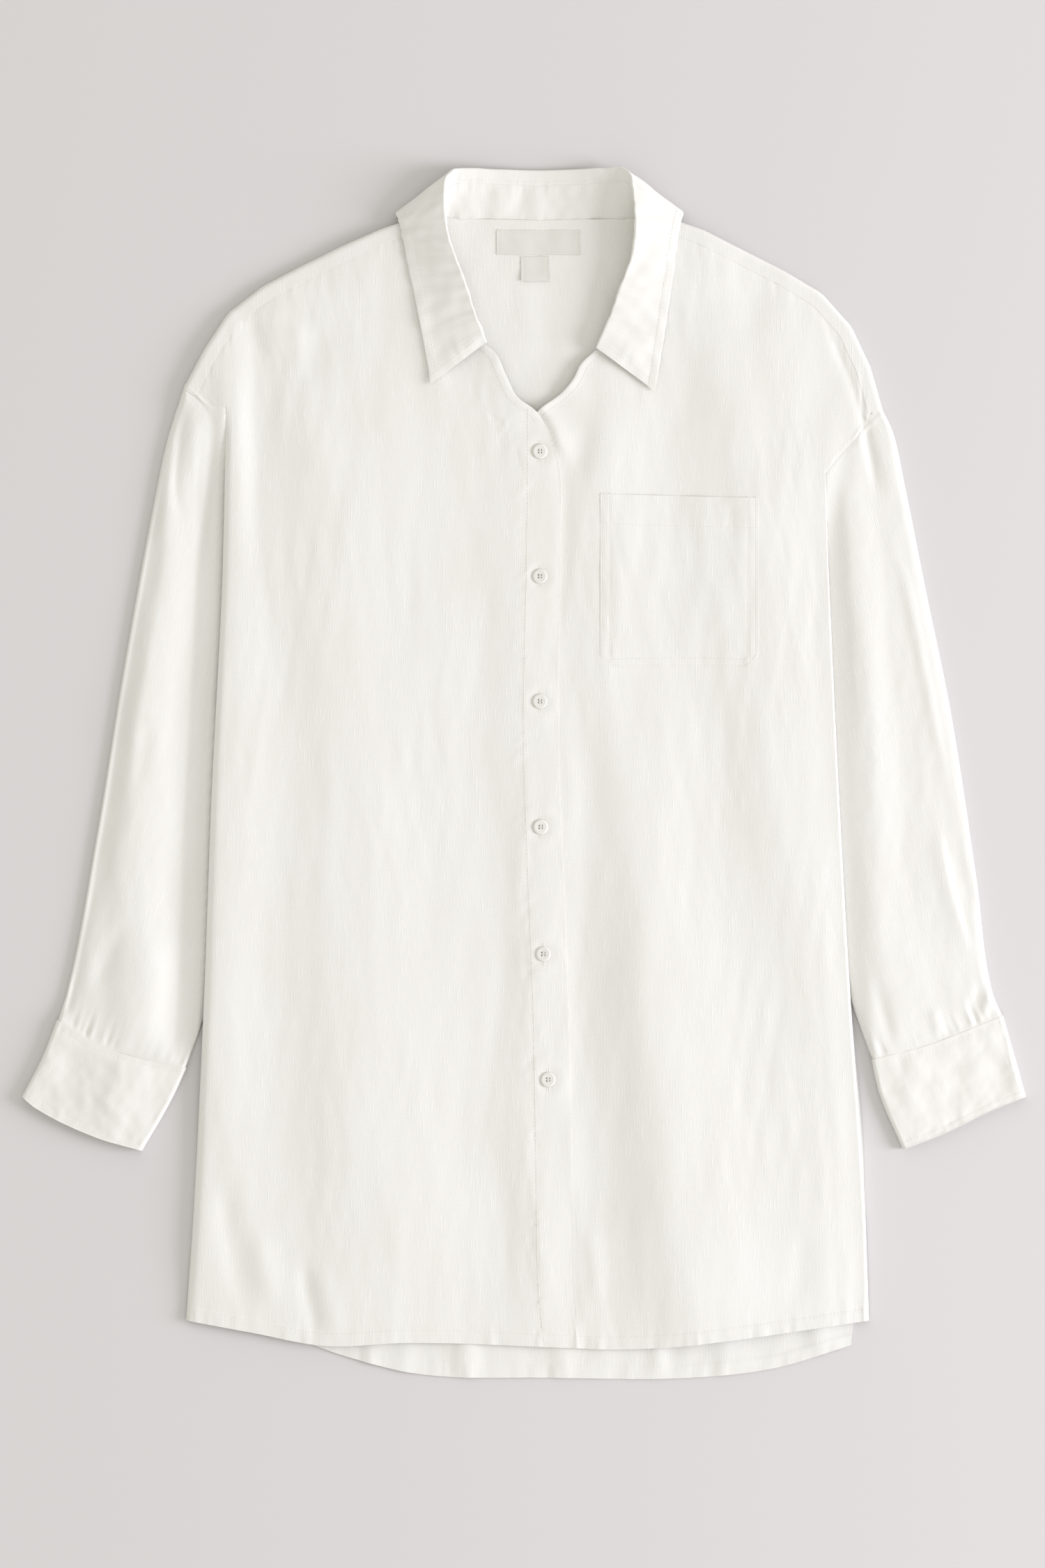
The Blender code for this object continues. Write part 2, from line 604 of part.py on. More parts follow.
def make_pocket(front, finish):
    tree = surface_of(front)
    over, under, top, bottom = (POCKET[k] for k in ("over", "under", "top", "bottom"))
    rows = []
    for y in (bottom, bottom + POCKET["corner"], 108.0, 132.0, 156.0, 180.0, top):
        cut = max(0.0, POCKET["corner"] - (y - bottom))
        xs = [over + cut + (under - over - 2 * cut) * s for s in shares(6)]
        rows.append([resting(tree, x, y, POCKET_GAP + CLOTH) for x in xs])
    return cloth("pocket", rows, finish)


def make_label(name, label, under, gap, finish):
    tree = surface_of(under)
    (x, y), width, height = label["centre"], label["width"], label["height"]
    rows = [[resting(tree, x + width * (s - 0.5), y + height * (t - 0.5), gap + LABEL_CLOTH)
             for s in shares(3)] for t in shares(1)]
    return cloth(name, rows, finish, wall=LABEL_CLOTH)


def make_button(number, front, finish):
    """A turned button: a rim round a shallow dish, flat underneath."""
    x, y = BUTTONS[number - 1]
    bm = bmesh.new()
    profile = ((0.0, 0.72), (0.62, 0.72), (0.8, 1.0), (0.93, 0.95), (1.0, 0.6), (0.93, 0.12), (0.8, 0.0), (0.0, 0.0))
    verts = [bm.verts.new((r * BUTTON_RADIUS * MM, 0.0, h * BUTTON_HEIGHT * MM)) for r, h in profile]
    for a, b in zip(verts, verts[1:]):
        bm.edges.new((a, b))
    mesh = bpy.data.meshes.new(f"button_{number}")
    bm.to_mesh(mesh)
    bm.free()
    obj = place(f"button_{number}", mesh, finish)
    screw = obj.modifiers.new("turn", "SCREW")
    screw.steps = 12
    screw.render_steps = 12
    screw.use_merge_vertices = True
    screw.merge_threshold = 0.00001
    tree = surface_of(front)
    obj.location = resting(tree, x, y, SEAM) * MM
    return obj


# ---------------------------------------------------------------- the shirt

COLLECTION = "long_shirt"


def make_shirt():
    for obj in list(bpy.data.objects):
        bpy.data.objects.remove(obj, do_unlink=True)
    collection = bpy.data.collections.new(COLLECTION)
    bpy.context.scene.collection.children.link(collection)

    linen = material("linen", (0.86, 0.855, 0.82), 0.9)
    linen_double = material("linen_double", (0.885, 0.88, 0.85), 0.88)
    tape = material("label_tape", (0.82, 0.815, 0.79), 0.7)
    shell = material("button_shell", (0.84, 0.835, 0.80), 0.35)

    back = make_back(linen)
    front_over = make_front_over(linen)
    front_under = make_front_under(linen)
    make_sleeve("sleeve_over_side", SLEEVE_OVER, linen, False)
    make_sleeve("sleeve_under_side", SLEEVE_UNDER, linen, True)
    make_cuff("cuff_over_side", CUFF_OVER, linen_double, False)
    make_cuff("cuff_under_side", CUFF_UNDER, linen_double, True)
    make_collar_stand(linen_double)
    make_collar_leaf(linen_double)
    make_pocket(front_under, linen)
    make_label("neck_label", NECK_LABEL, back, SEAM, tape)
    make_label("size_label", SIZE_LABEL, back, SEAM, tape)
    for number in range(1, len(BUTTONS) + 1):
        make_button(number, front_over, shell)


make_shirt()
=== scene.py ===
# %% [markdown]
# # A long linen shirt, laid flat
# A loose, washed linen shirt lies on its back on a pale table, with the sleeves swung down
# beside the body. Its solids come from the imported model, and they have the cut and the
# place of every piece. This lesson lays the real cloth over them: thin panels with long
# soft folds, crumpled edges, turned hems, stitches, buttons and a slubby weave.
# First the imported model is loaded. The cloth must stay in it.

import math

import bmesh
import bpy
import numpy as np
from mathutils import Matrix, Vector
from mathutils.bvhtree import BVHTree


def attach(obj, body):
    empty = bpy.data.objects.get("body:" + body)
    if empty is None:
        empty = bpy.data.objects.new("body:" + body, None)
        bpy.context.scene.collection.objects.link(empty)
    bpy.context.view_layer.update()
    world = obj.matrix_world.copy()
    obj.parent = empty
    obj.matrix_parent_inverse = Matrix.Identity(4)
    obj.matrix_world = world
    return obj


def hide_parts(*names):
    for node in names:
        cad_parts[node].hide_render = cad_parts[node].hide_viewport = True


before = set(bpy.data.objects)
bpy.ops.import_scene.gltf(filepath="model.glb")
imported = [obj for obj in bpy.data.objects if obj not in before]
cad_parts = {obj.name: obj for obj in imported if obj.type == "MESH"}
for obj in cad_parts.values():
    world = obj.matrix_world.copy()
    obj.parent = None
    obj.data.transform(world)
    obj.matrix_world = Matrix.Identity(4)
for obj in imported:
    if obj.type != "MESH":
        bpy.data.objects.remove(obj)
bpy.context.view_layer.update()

# %% [markdown]
# ## Sizes
# A shirt is drafted in millimetres, so every size here is in millimetres too, and MM turns
# it into Blender's metres. +Y points to the collar, +X to the wearer's left, and the table
# is at Z = 0. "over" is the wearer's right half, whose front laps over the other, and
# "under" is the wearer's left half. The seams are the same lines that the solids follow.

# %% The driving sizes
MM = 0.001
CLOTH = 1.0              # what a panel takes up in height, with the loft of its weave
WALL = 0.7               # thickness of the cloth that is modelled
SEAM = 0.35              # gap between two panels that are sewn together
AIR = 0.6                # air between two layers that lie on each other
SIDE_ROLL = 4.0          # how far in the fronts turn down at the side folds
SLEEVE_PUFF = 4.6        # extra height of a sleeve where the body doesn't press on it
SLEEVE_ROLL = 3.0        # how far in a sleeve turns down at its folded edges
CUFF_HEIGHT = 6.0
SHOULDER_ROLL = 2.6      # how far in the back turns over at the shoulders
SHOULDER_STRIP = 11.0    # from the shoulder's edge to the forward shoulder seam
BAND = 27.0              # width of the button band
BAND_STITCH = 25.5       # from the band's edge to its stitches
HEM = 10.0               # width of the turned hems
LAP = 2.2                # how far a panel runs on below the edge that is sewn over it
SLEEVE_LAP = LAP + 2.0   # and a sleeve below the armhole seam
RAMP = 26.0              # the body comes down from a sleeve over this width
FRONT_RAMP = 55.0        # and its fronts over this one
RAMP_LENGTH = 80.0       # and from a sleeve's end over this length
HIDDEN_SLEEVE = 2 * CLOTH + AIR
LIFT_OVER_SLEEVE = HIDDEN_SLEEVE + 0.8
LIFT_OVER_LEAF = CLOTH + 1.1
BODY_HEIGHT = 6.3        # the upper side of the fronts, before folds
FOLD_STRENGTH = 1.35     # what the heights in the tables of long folds are multiplied by
RIM = 0.9                # radius of a turned edge

# Lengths and widths of the nets, which their points are spaced by
BACK_LENGTH, FRONT_LENGTH, POCKET_LENGTH = 855.0, 900.0, 126.0
OVER_WIDTH, UNDER_WIDTH = 262.0, 250.0
SLEEVE_WIDTH, CUFF_WIDTH = 120.0, 100.0
print("body lies", round(LIFT_OVER_SLEEVE, 2), "mm up where a sleeve is under it")

# %% The outlines
SIDES = (
    # height, over side, under side
    (-403.0, -248.5, 254.5),
    (-310.0, -242.5, 251.0),
    (-170.0, -235.5, 241.0),
    (-20.0, -230.0, 232.5),
    (140.0, -222.0, 225.0),
    (221.0, -220.0, 221.5),
    (269.0, -219.0, 221.0),
)

# Hems, from the over side to the under side
FRONT_OVER_HEM = ((-248.5, -402.0), (-201.0, -411.0), (-147.0, -421.0), (-85.0, -419.0), (41.0, -423.5))
FRONT_UNDER_HEM = ((14.0, -422.0), (60.0, -424.5), (107.0, -423.0), (153.0, -418.0), (254.5, -403.5))
BACK_HEM = ((-248.5, -402.0), (-190.0, -409.0), (-131.0, -429.0), (-78.0, -442.0), (20.0, -445.0),
            (122.0, -445.3), (184.0, -438.5), (241.5, -421.5))
BACK_UNDER_SIDE = ((241.5, -421.5), (244.0, -395.0), (251.0, -310.0), (241.0, -170.0), (232.5, -20.0),
                   (225.0, 140.0), (222.0, 220.0))

# Front edges, from the hem to the first button, and the neck edges above them
OVER_EDGE = ((41.0, -423.5), (36.5, -380.0), (35.0, -300.0), (32.5, -169.0), (27.5, -46.0), (25.0, 36.0),
             (27.0, 175.0), (26.5, 222.0), (18.0, 253.0))
OVER_NECK = ((18.0, 253.0), (9.5, 266.5), (-4.5, 277.0), (-12.5, 292.0), (-20.5, 309.0), (-29.0, 316.0))
UNDER_NECK = ((-3.0, 245.0), (10.5, 266.5), (28.5, 280.5), (37.0, 291.0), (42.0, 301.0), (53.0, 311.5))

# Shoulder outlines from the armhole seam to the neck, and the armhole seams from the fold out
OVER_SHOULDER = ((-250.5, 283.5), (-240.0, 300.0), (-232.5, 319.0), (-220.0, 336.5), (-202.0, 352.5),
                 (-155.0, 378.0), (-97.0, 404.0), (-74.0, 411.2))
UNDER_SHOULDER = ((264.5, 267.5), (258.5, 290.0), (246.5, 321.0), (224.5, 349.5), (207.0, 362.0),
                  (176.0, 378.0), (121.0, 405.0), (100.5, 411.2))
OVER_ARMHOLE = ((-219.0, 269.5), (-237.0, 273.5), (-250.5, 283.5))
UNDER_ARMHOLE = ((222.0, 220.5), (232.5, 234.0), (248.0, 251.0), (264.5, 267.5))

SLEEVE_OVER = {
    "outer": ((-250.5, 283.5), (-262.5, 245.5), (-272.5, 198.5), (-294.5, 77.0), (-314.5, -46.0),
              (-336.5, -161.5), (-343.5, -181.0)),
    "inner": ((-128.0, 190.0), (-150.0, 120.0), (-185.0, 0.0), (-238.0, -187.5), (-248.0, -216.5)),
    "top": ((-250.5, 283.5), (-237.0, 273.5), (-219.0, 269.5), (-176.0, 246.0), (-128.0, 190.0)),
    "bottom": ((-343.5, -181.0), (-317.0, -198.0), (-288.0, -208.0), (-248.0, -216.5)),
}
SLEEVE_UNDER = {
    "outer": ((264.5, 267.5), (271.5, 253.0), (281.5, 208.5), (295.5, 138.5), (314.5, 46.0),
              (333.5, -77.0), (345.5, -161.5), (353.0, -178.0)),
    "inner": ((146.0, 165.0), (164.0, 100.0), (200.0, -20.0), (240.5, -166.0), (256.0, -210.5)),
    "top": ((264.5, 267.5), (248.0, 251.0), (222.0, 220.5), (186.0, 192.0), (146.0, 165.0)),
    "bottom": ((353.0, -178.0), (326.0, -189.0), (297.0, -200.0), (256.0, -210.5)),
}
CUFF_OVER = {
    "outer": ((-343.5, -181.0), (-354.5, -209.0), (-369.5, -238.0)),
    "inner": ((-248.0, -216.5), (-259.0, -240.0), (-281.0, -278.0)),
    "top": SLEEVE_OVER["bottom"],
    "bottom": ((-369.5, -238.0), (-360.0, -246.0), (-315.0, -268.0), (-281.0, -278.0)),
}
CUFF_UNDER = {
    "outer": ((353.0, -178.0), (363.0, -213.0), (370.0, -238.0)),
    "inner": ((256.0, -210.5), (262.0, -236.0), (279.5, -277.0)),
    "top": SLEEVE_UNDER["bottom"],
    "bottom": ((370.0, -238.0), (345.0, -248.0), (310.0, -265.0), (279.5, -277.0)),
}
print("front hem from", FRONT_OVER_HEM[0], "to", FRONT_UNDER_HEM[-1])

# %% The collar's sections, from one front end round the back of the neck to the other
# foot is the seam to the body, and its last number is 1 on a front's edge and 0 on the back's;
# crest is the fold, edge is the leaf's free edge, and hang bends the leaf between them.
COLLAR = (
    # foot x, y, on front, crest x, y, z,        edge x, y, z,         hang
    ((-37.0, 318.0, 1.0), (-28.0, 316.5, 11.8), (-68.5, 286.0, 9.5), 1.10),
    ((-44.0, 331.0, 1.0), (-34.0, 331.5, 14.2), (-73.0, 314.0, 10.0), 1.15),
    ((-54.0, 353.0, 1.0), (-41.5, 354.0, 17.0), (-79.5, 347.0, 10.5), 1.10),
    ((-62.0, 374.0, 1.0), (-49.5, 376.5, 19.0), (-85.5, 375.0, 11.0), 1.00),
    ((-66.5, 389.0, 1.0), (-55.0, 392.0, 20.0), (-89.0, 392.0, 11.0), 0.90),
    ((-68.0, 399.0, 1.0), (-58.0, 408.0, 20.0), (-91.0, 402.0, 10.5), 0.75),
    ((-66.0, 407.5, 0.6), (-58.5, 424.0, 18.5), (-92.5, 408.0, 9.5), 0.80),
    ((-60.0, 409.5, 0.2), (-57.0, 437.0, 15.0), (-94.0, 412.0, 6.0), 0.95),
    ((-54.0, 408.5, 0.0), (-52.5, 443.0, 11.5), (-92.0, 413.5, 2.0), 1.40),
    ((-44.0, 408.0, 0.0), (-42.0, 444.3, 8.0), (-72.0, 405.0, 0.0), 2.20),
    ((-20.0, 407.7, 0.0), (-20.0, 443.8, 4.5), (-38.0, 399.0, 0.0), 2.20),
    ((10.5, 407.0, 0.0), (10.5, 443.0, 2.6), (10.5, 397.0, 0.0), 1.60),
    ((42.0, 407.7, 0.0), (42.0, 443.8, 4.5), (60.0, 399.0, 0.0), 2.20),
    ((70.0, 408.0, 0.0), (64.0, 444.8, 8.0), (96.0, 405.0, 0.0), 2.20),
    ((80.0, 408.5, 0.0), (73.0, 445.0, 12.0), (115.5, 414.0, 2.0), 1.40),
    ((86.0, 409.5, 0.2), (78.0, 440.0, 15.5), (117.5, 412.5, 6.0), 0.95),
    ((92.0, 407.5, 0.6), (81.0, 424.0, 18.5), (116.5, 408.0, 9.0), 0.90),
    ((94.5, 399.0, 1.0), (82.5, 403.0, 19.0), (115.0, 401.0, 9.5), 0.95),
    ((92.5, 384.0, 1.0), (80.5, 382.0, 17.4), (112.5, 385.0, 9.5), 1.00),
    ((86.0, 362.0, 1.0), (73.0, 361.0, 15.0), (109.0, 358.0, 9.5), 1.05),
    ((76.0, 336.0, 1.0), (65.0, 338.0, 12.2), (104.0, 325.0, 9.0), 1.05),
    ((64.0, 316.0, 1.0), (54.0, 312.5, 10.4), (97.0, 281.0, 8.0), 1.00),
)
ON_BACK = slice(7, 16)       # rows whose foot is sewn to the back
ON_OVER = slice(0, 6)        # and to the fronts
ON_UNDER = slice(21, 15, -1)
COLLAR_FOLD = 1.3            # radius of the fold at the crest
STAND_SHORT = 10.0           # the stand ends this far below the crest
COLLAR_SECTIONS = 240
print("collar sections:", len(COLLAR))

# %% Pocket, labels and buttons
POCKET = {"over": 56.5, "under": 172.5, "bottom": 78.0, "corner": 9.0}
NECK_LABEL = {"centre": (11.0, 391.0), "width": 61.5, "height": 18.0}
SIZE_LABEL = {"centre": (8.5, 371.5), "width": 20.5, "height": 18.0}
BUTTONS = ((12.0, 237.0), (12.0, 145.0), (12.0, 53.0), (12.5, -39.5), (14.5, -133.0), (18.0, -225.5))
print("buttons every", round((BUTTONS[0][1] - BUTTONS[-1][1]) / 5, 1), "mm")

# %% [markdown]
# ## Curves and panels
# A pattern cutter draws a panel as four smooth edges. A Coons patch fills four edges with an
# even net, so a panel here is the same net as its solid, only much finer. The sums are done
# on whole arrays at once, because a panel has tens of thousands of points.

# %% Smooth steps and smooth lines
def smooth(t):
    """Soft step from 0 at t = 0 to 1 at t = 1."""
    t = np.clip(t, 0.0, 1.0)
    return t * t * (3.0 - 2.0 * t)


def bell(distance, width):
    """1 at a distance of 0, and softly down to almost 0 at twice the width."""
    return np.exp(-(distance / width) ** 2)


def through(knots, values, at):
    """Smooth values between rows of a table: knots rise, and values are numbers or points."""
    knots, values = np.asarray(knots, float), np.asarray(values, float)
    at = np.clip(at, knots[0], knots[-1])
    i = np.clip(np.searchsorted(knots, at, side="right") - 1, 0, len(knots) - 2)
    gap = np.diff(knots)
    slope = np.diff(values, axis=0) / gap.reshape((-1,) + (1,) * (values.ndim - 1))
    tangent = np.concatenate((slope[:1], (slope[:-1] + slope[1:]) / 2, slope[-1:]))
    wide = (...,) + (None,) * (values.ndim - 1)
    step = gap[i][wide]
    s = ((at - knots[i]) / gap[i])[wide]
    return (values[i] * (2 * s ** 3 - 3 * s ** 2 + 1) + tangent[i] * step * (s ** 3 - 2 * s ** 2 + s)
            + values[i + 1] * (3 * s ** 2 - 2 * s ** 3) + tangent[i + 1] * step * (s ** 3 - s ** 2))


def lengths(points):
    """Distance along a line at each of its points."""
    steps = np.linalg.norm(np.diff(np.asarray(points, float), axis=0), axis=1)
    return np.concatenate(([0.0], np.cumsum(steps)))


def curve(points):
    """Smooth curve through the points, as a function of the share of its length."""
    knots = lengths(points)
    return lambda t: through(knots, points, np.asarray(t, float) * knots[-1])


def polyline(points):
    """Straight from point to point, with an equal share for each step."""
    points = np.asarray(points, float)

    def at(t):
        place = np.clip(t, 0.0, 1.0) * (len(points) - 1)
        i = np.minimum(place.astype(int), len(points) - 2)
        return points[i] + (points[i + 1] - points[i]) * (place - i)[..., None]

    return at


def joined(*spans):
    """One edge from several curves; each span is (its last share, curve)."""
    def at(t):
        t = np.asarray(t, float)
        made = np.zeros(t.shape + (2,))
        low = 0.0
        for high, part in spans:
            here = (t > low) & (t <= high) if low > 0.0 else t <= high
            made[here] = part((t[here] - low) / (high - low))
            low = high
        return made

    return at


def inset(path, distance):
    """The path moved to its right by a distance."""
    def at(t):
        a, b = path(np.maximum(t - 0.02, 0.0)), path(np.minimum(t + 0.02, 1.0))
        along = (b - a) / np.linalg.norm(b - a, axis=-1, keepdims=True)
        return path(t) + np.stack((along[..., 1], -along[..., 0]), axis=-1) * distance

    return at


def patch(bottom, top, left, right, us, vs):
    """Plan of a panel between its four edges, as a net of rows up it and columns across it."""
    u, v = us[None, :, None], vs[:, None, None]
    b, t, l, r = bottom(us)[None], top(us)[None], left(vs)[:, None], right(vs)[:, None]
    ends = (b[:, :1] * (1 - u) * (1 - v) + b[:, -1:] * u * (1 - v)
            + t[:, :1] * (1 - u) * v + t[:, -1:] * u * v)
    return b * (1 - v) + t * v + l * (1 - u) + r * u - ends


def spaced(length, step, *zones):
    """Shares along a length: a step apart, and finer in each zone (start, end, its own step)."""
    places = list(np.arange(0.0, length, step)) + [length]
    for start, end, fine in zones:
        start, end = max(start, 0.0), min(end, length)
        places = [p for p in places if p < start or p > end]
        places += list(np.linspace(start, end, max(int((end - start) / fine), 1) + 1))
    places = sorted(places)
    kept = [places[0]]
    for p in places[1:]:
        if p - kept[-1] > 0.2:
            kept.append(p)
    kept[-1] = length
    return np.array(kept) / length


print("a step of 0.25 is softened to", float(smooth(0.25)))

# %% [markdown]
# ## Long folds and creases
# Washed linen laid on a table keeps long soft folds that run down the body. Each one is a
# crest or a trough, so a table of crest and trough lines, from one side to the other,
# describes the whole front: the cloth goes softly from each line to the next. Short
# creases are separate rows: a smooth line, how wide its two flanks are, and its height.

# %% Tables of long folds
LINES = {
    # name: rows of height up the body, x, and how high the cloth is
    "over_side_crest": ((-405, -237, 0.8), (-330, -231, 1.7), (-250, -227, 2.0), (-100, -222, 2.5),
                        (60, -215, 2.2), (180, -211, 1.0), (300, -213, 0.5)),
    "over_side_trough": ((-405, -184, 0.1), (-330, -176, 0.5), (-250, -180, 0.6), (-170, -188, 0.7),
                         (-87, -183, 0.4), (0, -172, 0.0), (77, -178, -0.1), (160, -192, 0.0),
                         (241, -196, -1.1), (310, -196, -0.7)),
    "over_ridge": ((-405, -112, 1.2), (-330, -112, 2.1), (-250, -125, 2.6), (-170, -131, 2.5),
                   (-87, -138, 2.2), (0, -138, 1.9), (77, -142, 1.6), (160, -152, 0.8),
                   (241, -152, 1.1), (310, -156, 0.6)),
    "over_placket_trough": ((-418, -30, -0.3), (-340, -18, -1.0), (-250, -28, -0.8), (-170, -23, -0.8),
                            (-87, -26, -0.8), (0, -30, -0.8), (77, -32, -0.5), (160, -40, -0.5),
                            (241, -36, -0.4), (300, -44, -0.2)),
    "over_placket_crest": ((-420, 10, 0.3), (-340, 13, 1.0), (-250, 4, 0.5), (-170, 8, 0.6),
                           (-87, 4, 0.6), (0, 4, 0.6), (77, 4, 0.5), (160, -4, 0.4), (240, 0, 0.4),
                           (300, -18, 0.2)),
    "edge_crest": ((-423, 36, 0.1), (-320, 33, 0.2), (-160, 31, 0.2), (-87, 30, 0.3), (0, 31, 0.4),
                   (60, 24, 0.3), (200, 20, 0.3), (240, 16, 0.3), (300, 10, 0.2)),
    "valley_trough": ((-424, 66, -0.4), (-400, 62, -0.5), (-333, 54, -0.4), (-250, 48, -0.2),
                      (-170, 45, -0.2), (-87, 46, -0.2), (0, 45, -0.6), (60, 42, -0.1), (120, 35, 0.1),
                      (190, 32, 0.0), (240, 42, -0.2), (300, 48, -0.2)),
    "valley_crest": ((-424, 130, 2.2), (-400, 126, 3.4), (-333, 116, 4.6), (-250, 103, 4.3),
                     (-170, 92, 3.6), (-87, 87, 2.8), (0, 74, 1.1), (60, 66, 0.3), (120, 60, 0.4),
                     (200, 56, 0.5), (240, 60, 0.5), (300, 66, 0.5)),
    "under_trough": ((-422, 198, 1.1), (-330, 192, 2.2), (-250, 184, 1.8), (-170, 168, 1.2),
                     (-87, 150, 0.8), (-5, 134, -0.2), (77, 122, -0.5), (160, 112, -0.8),
                     (241, 104, -1.2), (320, 104, -0.5), (345, 108, -0.3)),
    "under_crest": ((-415, 224, 1.2), (-330, 220, 2.4), (-250, 216, 2.1), (-170, 211, 1.9),
                    (-87, 197, 2.0), (-5, 188, 1.3), (77, 184, 0.8), (160, 180, 1.3), (241, 168, 1.4),
                    (320, 152, 0.5), (345, 148, 0.3)),
    "under_shoulder": ((-410, 234, 1.0), (-330, 229, 2.1), (-250, 227, 1.8), (-170, 219, 1.7),
                       (-87, 212, 1.7), (-5, 204, 1.2), (60, 200, 0.8), (200, 190, 1.1),
                       (300, 184, 0.5), (340, 186, 0.4)),
    "under_side": ((-404, 250, 0.4), (-330, 246, 1.2), (-240, 243, 1.1), (-170, 238, 0.9),
                   (-87, 233, 0.9), (-5, 228, 0.4), (60, 224, 0.0), (200, 216, 0.4), (300, 222, -0.2)),
}


def between_lines(lines, x, y):
    """Height of long folds at plan points: soft steps from each line to the next."""
    places = [through([row[0] for row in rows], [row[1:] for row in rows], y) for rows in lines]
    total = places[0][..., 1].copy()
    for here, beyond in zip(places, places[1:]):
        gap = np.maximum(beyond[..., 0] - here[..., 0], 4.0)
        total += (beyond[..., 1] - here[..., 1]) * smooth((x - here[..., 0]) / gap)
    return total


print("long folds:", len(LINES))

# %% Tables of short creases
FRONT_CREASES = (
    # line down the crease,                                    left flank, right flank, height
    (((-34, 322), (-8, 290), (14, 264)), 16, 18, 1.4),
    (((58, 316), (40, 292), (22, 274)), 18, 16, 1.4),
    (((52, 262), (44, 240), (34, 212)), 9, 12, -0.8),
    (((62, 268), (54, 240), (48, 205)), 10, 14, 0.4),
    (((-206, 338), (-196, 322), (-192, 300)), 8, 10, -0.9),
    (((-217, 356), (-223, 326), (-220, 290), (-213, 240), (-215, 190), (-218, 110)), 10, 11, 0.9),
    (((-194, 352), (-190, 326), (-186, 300)), 8, 12, 1.3),
    (((-58, 268), (-69, 314), (-76, 350), (-84, 390)), 14, 8, 1.3),
    (((-182, 352), (-176, 334), (-160, 312)), 10, 9, 0.7),
    (((-150, 336), (-154, 310), (-162, 280)), 8, 12, -1.0),
    (((168, 362), (172, 344), (166, 320)), 12, 12, -0.6),
    (((118, 330), (122, 290), (124, 250)), 10, 12, -0.5),
    (((218, 356), (226, 324), (240, 290), (249, 262), (254, 240), (257, 214)), 3, 4, -0.8),
    (((-222, -290), (-218, -330), (-213, -358), (-205, -404)), 8, 11, -1.7),
    (((-196, -330), (-190, -366), (-184, -400)), 9, 9, 1.2),
    (((-164, -352), (-158, -386), (-151, -424)), 6, 6, -1.4),
    (((-150, -360), (-143, -390), (-138, -418)), 6, 8, 0.6),
    (((46, -330), (52, -360), (54, -396)), 5, 7, 0.6),
    (((196, -190), (190, -236), (196, -282)), 12, 14, 0.5),
    (((206, -330), (204, -360), (198, -398)), 8, 10, -0.6),
    (((-60, 160), (-66, 120), (-62, 70)), 12, 16, 0.4),
    (((-96, 30), (-90, -20), (-94, -80)), 14, 14, -0.4),
    (((100, 60), (108, 10), (104, -50)), 10, 16, 0.4),
    (((138, 70), (146, 20), (150, -60)), 12, 14, -0.4),
)
SLEEVE_OVER_CREASES = (
    (((-247, 280), (-254, 240), (-256, 204), (-250, 180)), 3, 4, -1.4),
    (((-234, 280), (-229, 254), (-230, 228), (-235, 190), (-241, 142)), 3, 5, -1.5),
    (((-241, 276), (-242, 244), (-245, 206)), 5, 5, 0.8),
    (((-262, 270), (-267, 230), (-270, 188)), 5, 6, 0.6),
    (((-268, 180), (-272, 150), (-276, 118)), 5, 7, -0.6),
    (((-284, 70), (-288, 40), (-290, 8)), 6, 9, 0.6),
    (((-276, 44), (-280, 18), (-284, -16)), 6, 6, -0.5),
    (((-296, -30), (-300, -60), (-298, -96)), 6, 7, 0.7),
    (((-291, -104), (-299, -120), (-306, -138), (-315, -160)), 5, 8, -0.8),
    (((-312, -92), (-316, -118), (-322, -146), (-327, -166)), 6, 7, 0.6),
    (((-330, -146), (-334, -164), (-336, -182)), 4, 4, -1.0),
    (((-272, -110), (-274, -150), (-280, -180), (-288, -210)), 20, 14, 2.3),
    (((-262, -60), (-260, -110), (-262, -160)), 8, 12, -0.4),
)
SLEEVE_UNDER_CREASES = (
    (((240, 300), (245, 280), (249, 262), (254, 240), (258, 218), (260, 196)), 3, 4, -1.1),
    (((240, 300), (242, 276), (240, 250)), 4, 5, 0.8),
    (((262, 250), (268, 226), (272, 196)), 5, 7, 0.5),
    (((266, 190), (273, 165), (282, 139), (294, 80), (306, 21), (318, -36)), 5, 4, 0.9),
    (((304, -30), (308, -56), (313, -80), (320, -106), (327, -128), (333, -140)), 9, 3, 1.4),
    (((318, -56), (324, -80), (330, -104)), 5, 6, -0.6),
    (((338, -150), (334, -164), (330, -180)), 4, 5, -0.9),
    (((345, -158), (341, -170), (338, -184)), 3, 4, 0.8),
    (((300, -170), (304, -184), (309, -196)), 4, 4, 0.9),
    (((262, -150), (266, -180), (273, -202)), 6, 5, -0.6),
    (((284, -110), (290, -150), (296, -190)), 12, 10, 0.5),
)
CUFF_OVER_CREASES = (
    (((-276, -186), (-286, -216), (-296, -240), (-310, -280)), 28, 14, 2.7),
    (((-330, -200), (-334, -222), (-338, -250)), 8, 9, -0.7),
    (((-318, -222), (-316, -244), (-312, -264)), 5, 6, -0.7),
    (((-346, -196), (-350, -214), (-354, -236)), 6, 8, 0.6),
    (((-296, -214), (-302, -234), (-306, -250)), 5, 6, 0.4),
)
CUFF_UNDER_CREASES = (
    (((283, -204), (285, -230), (289, -262)), 7, 12, 0.9),
    (((314, -200), (320, -224), (324, -246)), 14, 8, -0.5),
    (((344, -206), (350, -228), (352, -246)), 9, 7, -1.0),
    (((272, -198), (276, -208), (278, -220)), 3, 4, -0.8),
    (((358, -206), (361, -222), (364, -236)), 5, 4, 0.6),
)
